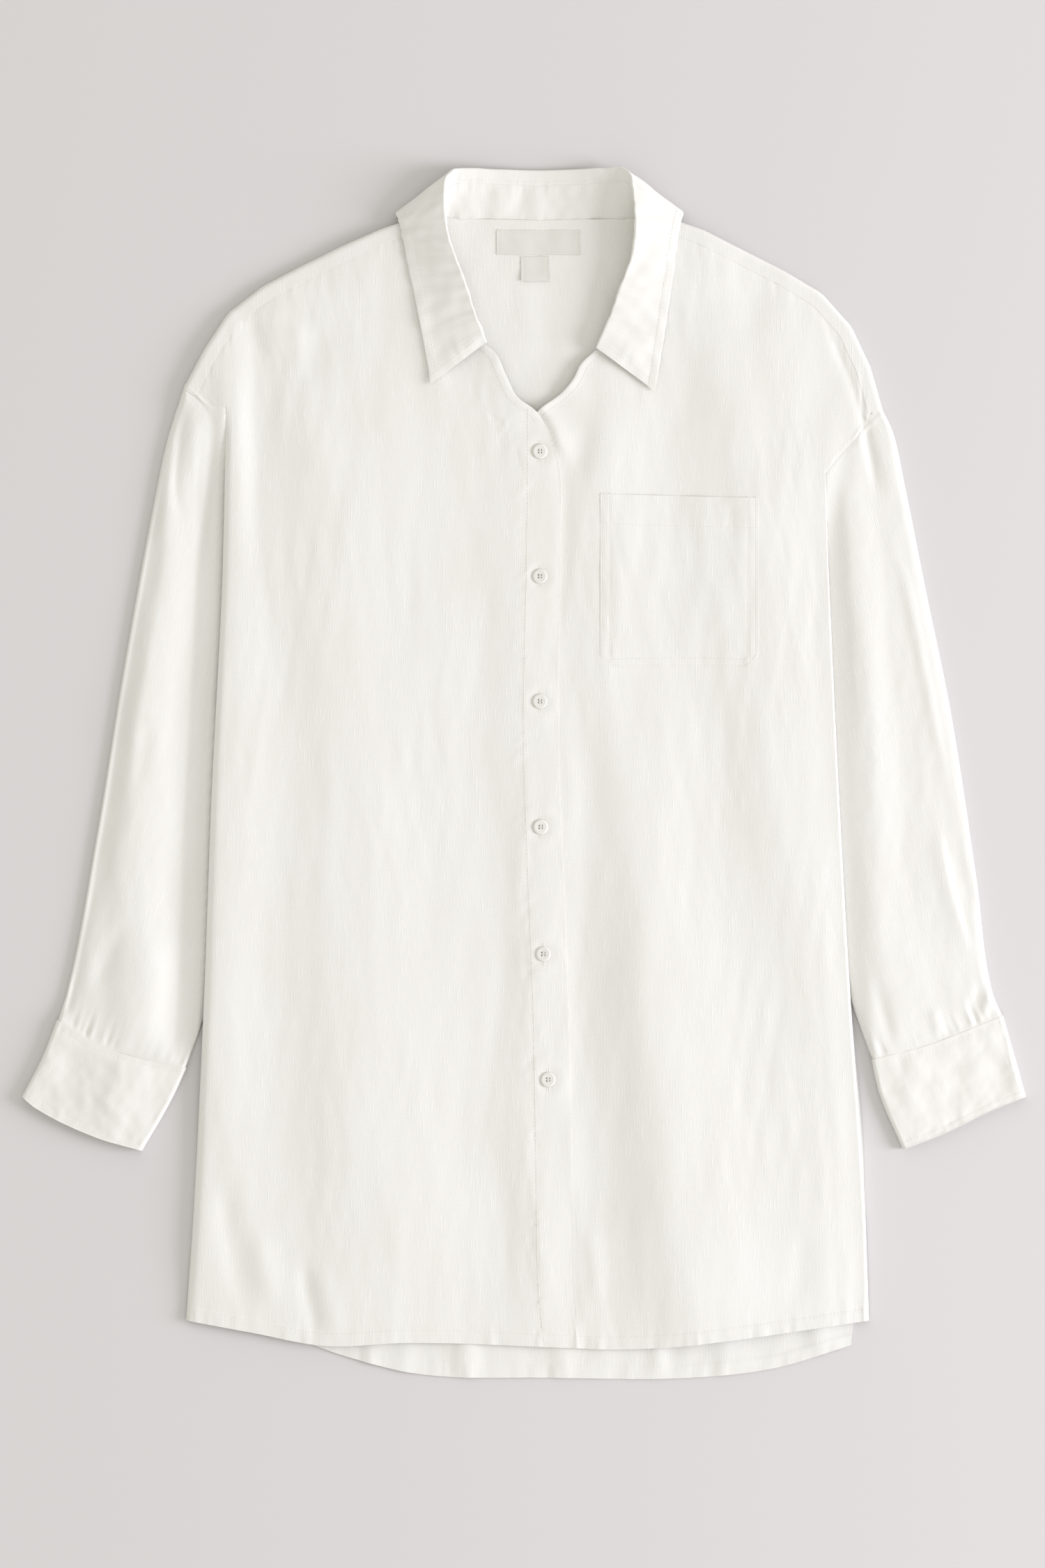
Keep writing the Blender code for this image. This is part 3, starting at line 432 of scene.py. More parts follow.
POCKET_CREASES = (
    (((150, 202), (153, 188), (148, 170)), 5, 7, -0.5),
    (((72, 198), (76, 150), (73, 100)), 9, 12, 0.4),
    (((120, 196), (126, 160), (120, 120)), 8, 8, -0.3),
    (((96, 190), (98, 160), (95, 130)), 6, 8, 0.3),
    (((140, 150), (146, 124), (142, 96)), 7, 7, 0.4),
)
BACK_CREASES = (
    (((96, -398), (100, -424), (102, -452)), 7, 4, 1.6),
    (((-40, -408), (-44, -430), (-46, -452)), 9, 12, 0.9),
    (((24, -410), (28, -430), (30, -454)), 12, 8, 0.8),
    (((150, -404), (156, -424), (160, -446)), 12, 10, 0.9),
    (((214, -392), (216, -410), (218, -430)), 6, 8, 0.8),
)


def crease(x, y, line, left, right, height):
    """Height of one crease at plan points; it fades towards both ends of its line."""
    points = curve(line)(np.linspace(0.0, 1.0, 25))
    reach = 2.6 * max(left, right)
    low, high = points.min(0) - reach, points.max(0) + reach
    near = (x > low[0]) & (x < high[0]) & (y > low[1]) & (y < high[1])
    made = np.zeros_like(x)
    if not near.any():
        return made
    p = np.stack((x[near], y[near]), axis=-1)
    steps = np.diff(points, axis=0)
    best = np.full(len(p), 1e9)
    side, place = np.zeros(len(p)), np.zeros(len(p))
    for i, (start, step) in enumerate(zip(points, steps)):
        away = p - start
        t = np.clip(away @ step / (step @ step), 0.0, 1.0)
        off = away - t[:, None] * step
        far = np.hypot(off[:, 0], off[:, 1])
        nearer = far < best
        best = np.where(nearer, far, best)
        side = np.where(nearer, step[0] * off[:, 1] - step[1] * off[:, 0], side)
        place = np.where(nearer, (i + t) / len(steps), place)
    width = np.where(side * -1 * np.sign(points[-1][1] - points[0][1]) > 0, right, left)
    fade = smooth(place / 0.35) * smooth((1.0 - place) / 0.35)
    made[near] = height * fade * bell(best, width)
    return made


def creases(table, x, y):
    """Height of all the creases of a table."""
    return sum(crease(x, y, *row) for row in table)


print("creases on the fronts:", len(FRONT_CREASES))

# %% [markdown]
# Between its folds the cloth is crumpled, and along every seam the stitches have gathered it
# into small puckers. Both are sums of waves whose directions and starts come from a fixed
# seed, so they look uneven and are the same at every run. Most waves run across the body,
# because the warp threads hold the cloth straight from collar to hem.

# %% Crumple and puckers
def crumple(x, y, seed, shortest, longest, height, lean=0.35, count=26):
    """Uneven soft waves; lean is how far their crests may turn away from the grain."""
    rng = np.random.default_rng(seed)
    total = np.zeros_like(x)
    for _ in range(count):
        wave = np.exp(rng.uniform(np.log(shortest), np.log(longest)))
        turned = rng.normal(0.0, lean)
        k = 2 * np.pi / wave
        start, sway = rng.uniform(0, 2 * np.pi, 2)
        bend = 0.9 * np.sin(y / (wave * rng.uniform(1.6, 3.4)) + sway)
        total += wave * np.sin(k * (x * np.cos(turned) + y * np.sin(turned)) + bend + start)
    return total * height / (np.sqrt(count / 2) * np.sqrt(shortest * longest))


def ripple(along, seed, spacing):
    """Uneven waves from -1 to 1 along a seam."""
    rng = np.random.default_rng(seed)
    total = np.zeros_like(along)
    for scale in (0.62, 0.8, 1.0, 1.37, 1.9, 2.7):
        total += np.sin(2 * np.pi * along / (spacing * scale) + rng.uniform(0, 2 * np.pi))
    strong = 0.55 + 0.45 * np.sin(2 * np.pi * along / (spacing * 7.3) + rng.uniform(0, 2 * np.pi))
    return total / 3.2 * strong


sample = np.linspace(0, 400, 4000)
print("crumple reaches", round(float(np.abs(crumple(sample, sample * 0, 1, 14, 60, 0.3)).max()), 2), "mm")

# %% [markdown]
# ## How high the cloth lies
# The back lies on the table, on the sleeves and on the part of the collar behind the neck.
# The fronts lie over it with a little air, and rise into the folds. One function gives the
# top of the whole front, and both fronts, the pocket and the collar's foot use it, so no
# layer cuts through another.

# %% Heights of the body
OVER_SIDE_ROWS = [(h, o) for h, o, _ in SIDES]
UNDER_SIDE_ROWS = [(h, u) for h, _, u in SIDES]
FRONT_HEMS = [*FRONT_OVER_HEM, *FRONT_UNDER_HEM[1:]]


def side_x(rows, y):
    """x of a side of the body at height y."""
    return through([r[0] for r in rows], [r[1] for r in rows], y)


def line_x(points, y):
    """x of a line that runs up the body, at height y."""
    return side_x(sorted((p[1], p[0]) for p in points), y)


def line_y(points, x):
    """y of a line that runs straight from point to point across the body, at x."""
    return np.interp(x, [p[0] for p in points], [p[1] for p in points])


def inside_body(x, y):
    """How far in from the nearer side of the body; below 0 beside it."""
    return np.minimum(x - side_x(OVER_SIDE_ROWS, y), side_x(UNDER_SIDE_ROWS, y) - x)


def over_sleeve(x, y, ramp=RAMP):
    """1 where the body lies on a sleeve, 0 where it lies on the table."""
    total = np.zeros_like(x)
    for side, sleeve, rows in ((1, SLEEVE_OVER, OVER_SIDE_ROWS), (-1, SLEEVE_UNDER, UNDER_SIDE_ROWS)):
        inward = 1 - smooth(((x - line_x(sleeve["inner"], y)) * side - 4.0) / ramp)
        outward = smooth(1 + (x - side_x(rows, y)) * side / 18.0)
        upward = 1 - smooth((y - line_y(sorted(sleeve["top"]), x) - 6.0) / ramp)
        downward = smooth((y - sleeve["inner"][-1][1] + RAMP_LENGTH) / RAMP_LENGTH)
        total = np.where(x * side < 0, inward * outward * upward * downward, total)
    return total


def over_leaf(x, y):
    """1 where the back lies on the part of the collar that goes behind the neck."""
    return smooth((y - 340.0) / RAMP) * smooth((x + 150.0) / 40.0) * smooth((174.0 - x) / 40.0)


def lift(x, y):
    """Height of the back's underside."""
    return np.maximum(LIFT_OVER_SLEEVE * over_sleeve(x, y), LIFT_OVER_LEAF * over_leaf(x, y))


def body_top(x, y):
    """Height of the upper side of the fronts, before the side folds turn down."""
    inside = inside_body(x, y)
    calm = smooth(inside / 12.0)
    upper = 1 - smooth((y - 300.0) / 70.0)
    folds = FOLD_STRENGTH * between_lines(LINES.values(), x, y)
    soft = folds * (0.35 + 0.65 * upper) + creases(FRONT_CREASES, x, y)
    soft = soft + crumple(x, y, 14, 18, 80, 0.09, 0.22)
    patchy = 0.35 + 0.65 * smooth(crumple(x, y, 13, 90, 180, 0.5, 0.6) + 0.4)
    soft = soft + crumple(x, y, 12, 6, 20, 0.055, 0.3) * calm * patchy
    settled = 2.0 * (1 - smooth((y - line_y(FRONT_HEMS, x)) / 60.0))
    below_arm = 1 - smooth((y - 190.0) / 40.0)
    sides = np.where(x < 0, 0.5, -0.3) * bell(np.maximum(inside, 0.0), 18.0) * below_arm
    raised = 1.1 * over_sleeve(x, y, FRONT_RAMP) + 1.9 * over_leaf(x, y)
    return BODY_HEIGHT + raised + soft - settled - sides


def turn(distance, radius):
    """Share of the full height at a distance in from a rounded edge."""
    rest = 1 - np.clip(distance / radius, 0.0, 1.0)
    return np.sqrt(1 - rest * rest)


x, y = np.meshgrid(np.arange(-210.0, 211.0, 6.0), np.arange(-400.0, 301.0, 6.0))
tops = body_top(x, y)
print("top of the fronts:", round(float(tops.min()), 2), "to", round(float(tops.max()), 2), "mm")
clearance = tops - lift(x, y) - CLOTH - WALL
print("least clearance over the back:", round(float(clearance.min()), 2), "mm")

# %% [markdown]
# ## Making a panel
# A panel is a net of points on its outer side. A Solidify modifier gives it the thickness of
# the cloth inwards. Its UV map is in metres along the grain, so that the threads of the weave
# keep their real size and run the right way on the body, the sleeves and the collar alike.

# %% A net of points becomes a cloth piece
def unit(v):
    """Vectors at the length of 1."""
    return v / np.maximum(np.linalg.norm(v, axis=-1, keepdims=True), 1e-9)


def net_normals(net):
    """Outward direction at every point of a net."""
    across = np.gradient(net, axis=1)
    up = np.gradient(net, axis=0)
    return unit(np.cross(across, up))


def quads_of(index):
    """The four corners of each quad of a net, from the number of every point."""
    corners = (index[:-1, :-1], index[:-1, 1:], index[1:, 1:], index[1:, :-1])
    return np.stack(corners, axis=-1).reshape(-1, 4)


def mesh_of(bm, name):
    """A mesh from a bmesh that is finished."""
    mesh = bpy.data.meshes.new(name)
    bm.to_mesh(mesh)
    bm.free()
    return mesh


def put(name, data):
    """A new object in the scene."""
    obj = bpy.data.objects.new(name, data)
    bpy.context.scene.collection.objects.link(obj)
    return obj


def cloth(name, net, uv, finish, ring=False, wall=WALL, holes=None):
    """A cloth piece from a net in millimetres; a ring closes each row on itself.

    holes marks points that the piece doesn't have.
    """
    rows, columns = net.shape[:2]
    index = np.arange(rows * columns).reshape(rows, columns)
    if ring:
        index = np.concatenate((index, index[:, :1]), axis=1)
    quads = quads_of(index)
    uv_quads = quads_of(np.arange(uv.shape[0] * uv.shape[1]).reshape(uv.shape[:2]))
    points = net.reshape(-1, 3)
    if holes is not None:
        whole = ~holes.reshape(-1)[quads].any(axis=1)
        quads, uv_quads = quads[whole], uv_quads[whole]
        used = np.unique(quads)
        renumber = np.zeros(len(points), int)
        renumber[used] = np.arange(len(used))
        points, quads = points[used], renumber[quads]
    mesh = bpy.data.meshes.new(name)
    mesh.from_pydata((points * MM).tolist(), [], quads.tolist())
    grain = mesh.uv_layers.new(name="grain")
    grain.data.foreach_set("uv", (uv.reshape(-1, 2)[uv_quads.reshape(-1)] * MM).astype(np.float32).ravel())
    mesh.shade_smooth()
    sides = np.sort(quads[:, [0, 1, 1, 2, 2, 3, 3, 0]].reshape(-1, 2), axis=1)
    sides, times = np.unique(sides, axis=0, return_counts=True)
    once = {tuple(side) for side in sides[times == 1]}
    for edge in mesh.edges:
        edge.use_edge_sharp = tuple(sorted(edge.vertices)) in once
    mesh.materials.append(finish)
    obj = put(name, mesh)
    thick = obj.modifiers.new("wall", "SOLIDIFY")
    thick.thickness = wall * MM
    thick.offset = -1.0
    print(f"{name}: {rows} x {columns} points, {4 * len(quads)} triangles")
    return obj


print("a panel's wall is", WALL, "mm")

# %% [markdown]
# ## Finishes
# Linen yarn is uneven: a thread swells into a slub for a centimetre or two and thins again.
# One shader group draws that from noise that is stretched along the warp and, fainter, along
# the weft, so that no pattern repeats. It gives a colour and a height, and the single linen,
# the doubled linen and the tape use it with their own numbers.

# %% The woven cloth group
def add(tree, kind, **settings):
    """A node with its properties, and the inputs that settings name by their order."""
    node = tree.nodes.new(kind)
    for key, value in settings.items():
        if key.startswith("in_"):
            node.inputs[int(key[3:])].default_value = value
        else:
            setattr(node, key, value)
    return node


def stretched_noise(tree, place, across, along, low, high, detail=2.0):
    """Noise from 0 to 1 whose grains are across x along millimetres."""
    scale = (1 / (across * MM), 1 / (along * MM), 1.0)
    size = add(tree, "ShaderNodeVectorMath", operation="MULTIPLY", in_1=scale)
    noise = add(tree, "ShaderNodeTexNoise", noise_dimensions="2D")
    noise.inputs["Scale"].default_value = 1.0
    noise.inputs["Detail"].default_value = detail
    noise.inputs["Roughness"].default_value = 0.55
    fit = add(tree, "ShaderNodeMapRange", in_1=low, in_2=high)
    tree.links.new(place, size.inputs[0])
    tree.links.new(size.outputs[0], noise.inputs["Vector"])
    tree.links.new(noise.outputs["Fac"], fit.inputs[0])
    return fit.outputs[0]


def sum_of(tree, *rows):
    """Weighted sum of values: rows of (value, weight)."""
    total = None
    for value, weight in rows:
        step = add(tree, "ShaderNodeMath", operation="MULTIPLY_ADD", in_1=weight, in_2=0.0)
        tree.links.new(value, step.inputs[0])
        if total is not None:
            tree.links.new(total, step.inputs[2])
        total = step.outputs[0]
    return total


def add_sockets(tree, in_out, kinds):
    """Sockets of a group, from a table of name and kind."""
    for name, kind in kinds.items():
        tree.interface.new_socket(name=name, in_out=in_out, socket_type="NodeSocket" + kind)


def make_weave():
    """The group: noise for single threads, slubs, groups of threads and clouds of shade."""
    tree = bpy.data.node_groups.new("slubby_weave", "ShaderNodeTree")
    add_sockets(tree, "INPUT", {"Place": "Vector", "Thread Size": "Float", "Yarn": "Color",
                                "Shade": "Color", "Slub": "Float"})
    add_sockets(tree, "OUTPUT", {"Color": "Color", "Height": "Float"})
    given, result = tree.nodes.new("NodeGroupInput"), tree.nodes.new("NodeGroupOutput")
    fit = add(tree, "ShaderNodeVectorMath", operation="DIVIDE")
    whole = tree.nodes.new("ShaderNodeCombineXYZ")
    for k in range(2):
        tree.links.new(given.outputs["Thread Size"], whole.inputs[k])
    whole.inputs[2].default_value = 1.0
    tree.links.new(given.outputs["Place"], fit.inputs[0])
    tree.links.new(whole.outputs[0], fit.inputs[1])
    place = fit.outputs[0]
    warp = stretched_noise(tree, place, 0.55, 9.0, 0.30, 0.70)
    weft = stretched_noise(tree, place, 7.0, 0.6, 0.30, 0.70)
    slub = stretched_noise(tree, place, 1.15, 17.0, 0.55, 0.78)
    cross_slub = stretched_noise(tree, place, 21.0, 1.2, 0.60, 0.80)
    group = stretched_noise(tree, place, 26.0, 70.0, 0.35, 0.65)
    cloud = stretched_noise(tree, place, 55.0, 110.0, 0.30, 0.70)
    strong = add(tree, "ShaderNodeMath", operation="MULTIPLY_ADD", in_1=0.8, in_2=0.35)
    grouped = add(tree, "ShaderNodeMath", operation="MULTIPLY")
    shown = add(tree, "ShaderNodeMath", operation="MULTIPLY")
    tree.links.new(group, strong.inputs[0])
    tree.links.new(slub, grouped.inputs[0])
    tree.links.new(strong.outputs[0], grouped.inputs[1])
    tree.links.new(grouped.outputs[0], shown.inputs[0])
    tree.links.new(given.outputs["Slub"], shown.inputs[1])
    height = sum_of(tree, (warp, 0.30), (weft, 0.22), (shown.outputs[0], 0.60), (cross_slub, 0.22))
    pale = sum_of(tree, (warp, 0.22), (weft, 0.12), (shown.outputs[0], 0.40), (cloud, 0.30))
    colour = add(tree, "ShaderNodeMix", data_type="RGBA")
    tree.links.new(pale, colour.inputs["Factor"])
    tree.links.new(given.outputs["Shade"], colour.inputs[6])
    tree.links.new(given.outputs["Yarn"], colour.inputs[7])
    tree.links.new(colour.outputs[2], result.inputs["Color"])
    tree.links.new(height, result.inputs["Height"])
    return tree


WEAVE = make_weave()
print("nodes in the weave:", len(WEAVE.nodes))

# %% Materials
def new_material(name, colour, roughness, specular=0.3, sheen=0.0):
    """A plain finish."""
    made = bpy.data.materials.new(name)
    made.use_nodes = True
    shader = made.node_tree.nodes["Principled BSDF"]
    shader.inputs["Base Color"].default_value = (*colour, 1.0)
    shader.inputs["Roughness"].default_value = roughness
    shader.inputs["Specular IOR Level"].default_value = specular
    shader.inputs["Sheen Weight"].default_value = sheen
    shader.inputs["Sheen Roughness"].default_value = 0.5
    return made


def woven_material(name, yarn, shade, roughness, thread_size, slub, relief, sheen):
    """Cloth: the weave's colour between shade and yarn, and its relief in millimetres."""
    made = new_material(name, yarn, roughness, 0.25, sheen)
    tree = made.node_tree
    shader = tree.nodes["Principled BSDF"]
    grain = add(tree, "ShaderNodeUVMap", uv_map="grain")
    weave = add(tree, "ShaderNodeGroup", node_tree=WEAVE)
    weave.inputs["Thread Size"].default_value = thread_size
    weave.inputs["Yarn"].default_value = (*yarn, 1.0)
    weave.inputs["Shade"].default_value = (*shade, 1.0)
    weave.inputs["Slub"].default_value = slub
    bump = tree.nodes.new("ShaderNodeBump")
    bump.inputs["Strength"].default_value = 1.0
    bump.inputs["Distance"].default_value = relief * MM
    tree.links.new(grain.outputs["UV"], weave.inputs["Place"])
    tree.links.new(weave.outputs["Color"], shader.inputs["Base Color"])
    tree.links.new(weave.outputs["Height"], bump.inputs["Height"])
    tree.links.new(bump.outputs["Normal"], shader.inputs["Normal"])
    return made


linen = woven_material("washed_linen", (0.818, 0.8135, 0.795), (0.75, 0.739, 0.702), roughness=0.9,
                       thread_size=1.0, slub=1.0, relief=0.10, sheen=0.08)
linen_double = woven_material("doubled_linen", (0.818, 0.812, 0.790), (0.755, 0.743, 0.705),
                              roughness=0.88, thread_size=1.0, slub=0.8, relief=0.08, sheen=0.08)
tape = woven_material("woven_tape", (0.74, 0.728, 0.695), (0.68, 0.663, 0.622), roughness=0.75,
                      thread_size=0.35, slub=0.2, relief=0.05, sheen=0.0)
shell = new_material("button_shell", (0.735, 0.725, 0.69), 0.45, 0.4)
thread = new_material("sewing_thread", (0.80, 0.785, 0.74), 0.6)
print("finishes:", len(bpy.data.materials))

# %% [markdown]
# ## The back
# The back is one panel that ends in a hem below the fronts' hem. Above, it rolls forward over
# the shoulders, down to the seams that join it to the fronts, and the neck seam runs between
# them. The lower hem and the inside of the neck show; the rest lies under the fronts.

# %% The back's plan
ARMHOLE_SHARE = 0.94         # share of a panel's side up to the armhole
NECK_SHARES = (0.38, 0.62)   # shares of the back's top where the neck starts and ends
SHOULDER_COLUMNS = 7
EDGE_SHARES = (0.74, 0.86)   # shares of a front edge up to its corner and to the collar
UNDER_SHOULDER_BACK = tuple(reversed(UNDER_SHOULDER))


def shoulder(outline, distance):
    """The shoulder's outline moved in, with the same corners as the solid's."""
    path = inset(curve(outline), distance)
    return polyline(path(np.linspace(0.0, 1.0, SHOULDER_COLUMNS + 1)))


def foot_line(rows, clear_x, clear_y):
    """The neck seam along some rows of the collar, moved clear of it."""
    return [(foot[0] + clear_x, foot[1] + clear_y) for foot, _, _, _ in COLLAR[rows]]


OVER_SIDE = [(x, y) for y, x, _ in SIDES[:-1]]
UNDER_SIDE = [(x, y) for y, _, x in SIDES[:-2]]


def back_plan(us, vs):
    """Plan of the back up to its shoulders and the neck seam."""
    over = shoulder(OVER_SHOULDER, SHOULDER_ROLL)
    under = shoulder(UNDER_SHOULDER_BACK, SHOULDER_ROLL)
    neck = polyline(foot_line(ON_BACK, 0.0, 0.3))
    top = joined((NECK_SHARES[0], over), (NECK_SHARES[1], neck), (1.0, under))
    start, end = over(np.array([0.0]))[0], under(np.array([1.0]))[0]
    left = joined((ARMHOLE_SHARE, curve(OVER_SIDE + [OVER_ARMHOLE[0]])),
                  (1.0, curve([*OVER_ARMHOLE[:-1], start])))
    right = joined((ARMHOLE_SHARE, curve(BACK_UNDER_SIDE)),
                   (1.0, curve([*UNDER_ARMHOLE[:-1], end])))
    return patch(curve(BACK_HEM), top, left, right, us, vs)


def hem_height(above, along, seed):
    """A turned hem: one layer more up to its stitches, which draw it into small puckers."""
    rise = 0.4 * (1 - smooth((above - HEM + 0.6) / 1.2))
    groove = -0.3 * bell(above - HEM + 0.8, 1.1)
    gathered = 0.42 * bell(above, 9.0) + 0.12 * bell(above, 26.0)
    pucker = ripple(along, seed, 9.0) * gathered
    pucker = pucker + 0.16 * ripple(along, seed + 1, 3.6) * bell(above - HEM, 3.5)
    return rise + groove + pucker


def shoulder_points(us, angle, further):
    """Points on the back's turn over the shoulders, and which of them are at the neck."""
    low, high = NECK_SHARES
    at_neck = (us > low) & (us < high)
    t = np.where(us <= low, us / low, (us - high) / (1.0 - high))
    made = np.zeros((len(us), 3))
    for outline, here in ((OVER_SHOULDER, us <= low), (UNDER_SHOULDER_BACK, us >= high)):
        seam = shoulder(outline, SHOULDER_STRIP)(t[here])
        base = lift(seam[:, 0], seam[:, 1])
        half = (body_top(seam[:, 0], seam[:, 1]) - base) * 0.5
        at = shoulder(outline, SHOULDER_ROLL * (1 - math.cos(angle)) + further)(t[here])
        made[here] = np.column_stack((at, base + half * (1 + math.sin(angle))))
    return made, at_neck


def back_rise(x, y):
    """How far the crumpled back stands off what it lies on: more where it shows in the neck."""
    in_neck = smooth((y - 250.0) / 30.0) * smooth((80.0 - np.abs(x - 12.0)) / 40.0)
    soft = np.maximum(crumple(x, y, 21, 14, 60, 0.2), -0.25) + 0.25
    return 0.1 + soft * (0.4 + 0.6 * in_neck) + 1.5 * in_neck * (1 - 0.7 * over_leaf(x, y))


print("the neck takes", round(NECK_SHARES[1] - NECK_SHARES[0], 2), "of the back's top")

# %% Make the back
def make_back():
    """The panel, and then rows over the turn of the shoulders and down to their seams."""
    us = np.unique(np.concatenate((np.linspace(0, NECK_SHARES[0], 49), np.linspace(*NECK_SHARES, 41),
                                   np.linspace(NECK_SHARES[1], 1, 49))))
    vs = spaced(BACK_LENGTH, 6.0, (0, 14, 1.0), (14, 46, 2.6), (600, BACK_LENGTH, 3.6))
    plan = back_plan(us, vs)
    x, y = plan[..., 0], plan[..., 1]
    base = lift(x, y)
    above = y - line_y(BACK_HEM, x)
    low_edge = 1 - smooth((above - 30.0) / 30.0)
    wave = np.maximum(1.3 * crumple(x, y, 23, 26, 90, 0.5, 0.2), 0.0) * low_edge
    wave = wave + np.maximum(creases(BACK_CREASES, x, y), 0.0)
    z = base + back_rise(x, y) + wave + np.maximum(hem_height(above, x, 31), -0.05)
    rows = [np.stack((x, y, z), axis=-1)]
    holes = [np.zeros(x.shape, bool)]
    strip = SHOULDER_STRIP - SHOULDER_ROLL
    over_the_turn = [(degrees, 0.0) for degrees in (-60, -30, 0, 30, 60, 90)]
    to_the_seam = [(90, further) for further in (2.0, 4.5, 6.2, strip - 0.9, strip)]
    for degrees, further in over_the_turn + to_the_seam:
        points, at_neck = shoulder_points(us, math.radians(degrees), further)
        points[:, 2] += (0.3 * ripple(points[:, 0], 61, 8.0) + 0.02) * smooth(further / strip)
        rows.append(points[None])
        holes.append(at_neck[None])
    net, holes = np.concatenate(rows), np.concatenate(holes)
    climb = lengths(net[:, 20])     # up a column that crosses the over shoulder
    uv = np.stack((net[..., 0], net[..., 1]), axis=-1)
    turned = len(vs)
    uv[turned:, :, 1] = uv[turned - 1, :, 1] + (climb[turned:] - climb[turned - 1])[:, None]
    net, uv, holes = net[:, ::-1], uv[:, ::-1], holes[:, ::-1]
    return net, cloth("back_linen", net, uv, linen, holes=holes)


back_net, back = make_back()

# %% [markdown]
# ## The fronts
# Each front turns down in a soft roll at the side fold, where the back comes up to meet it.
# The over front carries the button band, a turned strip whose inner edge is stitched; the
# under front dips a little where that band lies on it. At the neck the over front's edge
# falls off softly, and the under front's stands up a little.

# %% What the two fronts share
OVER_FRONT_EDGE = OVER_EDGE + OVER_NECK[1:]
FRONT_ROWS = spaced(FRONT_LENGTH, 3.0, (0, 14, 1.0), (FRONT_LENGTH - 12, FRONT_LENGTH, 1.2))
VALLEY = 19.0                # width of the valley between the body and the over sleeve


def widths(plan):
    """Width of each row of a panel's plan."""
    return np.linalg.norm(plan[:, -1] - plan[:, 0], axis=-1)[:, None]


def sleeve_height(x, y):
    """Flat below the body. Beside it the over sleeve has a valley, and the other rises at once."""
    over_out, under_out = side_x(OVER_SIDE_ROWS, y) - x, x - side_x(UNDER_SIDE_ROWS, y)
    slope = 1 - np.clip(over_out / VALLEY, 0.0, 1.0)
    beside = 2.9 * smooth((over_out - 0.5) / 3.0) * slope - 0.6 * smooth(over_out / 3.0)
    over_rise = 1 - (1 - np.clip((over_out - VALLEY) / 34.0, 0.0, 1.0)) ** 2
    under_rise = smooth((under_out + 5.0) / 23.0)
    return HIDDEN_SLEEVE - 0.2 + beside + SLEEVE_PUFF * (over_rise + under_rise)


def armhole_gathers(x, y):
    """Puckers along the armhole seams, the same on the front and on the sleeve below it."""
    return 0.35 * ripple(x + y, 57, 7.0) * smooth(-inside_body(x, y) / 14.0)


def front_net(plan, us, vs, fold, top):
    """Net of a front. fold is the u of its side fold; top gives its height at plan points."""
    x, y = plan[..., 0], plan[..., 1]
    from_fold = np.abs(us[None] - fold) * widths(plan)
    past = smooth((vs - ARMHOLE_SHARE + 0.045) / 0.05)[:, None]
    risen = turn(from_fold, SIDE_ROLL * (0.6 if fold else 2.0))
    risen = risen + (1 - risen) * past
    low = lift(x, y) + CLOTH + SEAM
    z = low + (top - low) * risen
    # at the armhole seam the front laps over the sleeve, which comes up to it
    gathered = armhole_gathers(x, y) * bell(from_fold, 8.0)
    z = z + (gathered - 0.1 * bell(from_fold, 0.9)) * past
    # along the top it runs on below the edge of the shoulder strip
    length = np.linalg.norm(plan[-1] - plan[0], axis=-1)[None]
    from_strip = np.maximum((1 - vs)[:, None] * length - LAP, 0.0)
    gathered = 0.3 * ripple(x, 61, 8.0) * bell(from_strip, 8.0)
    z = z - 0.14 * bell(from_strip, 3.0) + gathered
    return np.stack((x, y, z), axis=-1)


def edge_finish(away, along, seed, stitched, calm=0.0, slant=0.0):
    """A turned edge: a little thicker, with a groove at its stitches and small puckers.

    Where calm is 1 the edge lies softly on the cloth below it; slant turns the puckers.
    """
    faint = 1 - calm * (0.6 + 0.4 * ripple(along, seed + 2, 60.0))
    rise = 0.2 * (1 - smooth((away - stitched) / 1.2)) * faint
    groove = -0.18 * bell(away - stitched, 0.9) * faint
    pucker = 0.26 * ripple(along + slant * away, seed, 8.0) * bell(away - stitched, 7.0)
    fine = 0.12 * ripple(along - slant * away, seed + 1, 3.4) * bell(away - stitched, 2.6)
    lip = -0.2 * (1 - turn(away, RIM)) * (1 - calm) - 0.12 * calm * smooth((10.0 - away) / 10.0)
    return rise + groove + pucker + fine + lip


def button_dimples(x, y):
    """Each button draws the band down a little round itself."""
    total = np.zeros_like(x)
    for bx, by in BUTTONS:
        away = np.hypot((x - bx) * 1.15, y - by)
        total -= 0.75 * bell(away, 6.5) - 0.3 * bell(away - 12.0, 5.0)
    return total


print("rows of points up a front:", len(FRONT_ROWS))

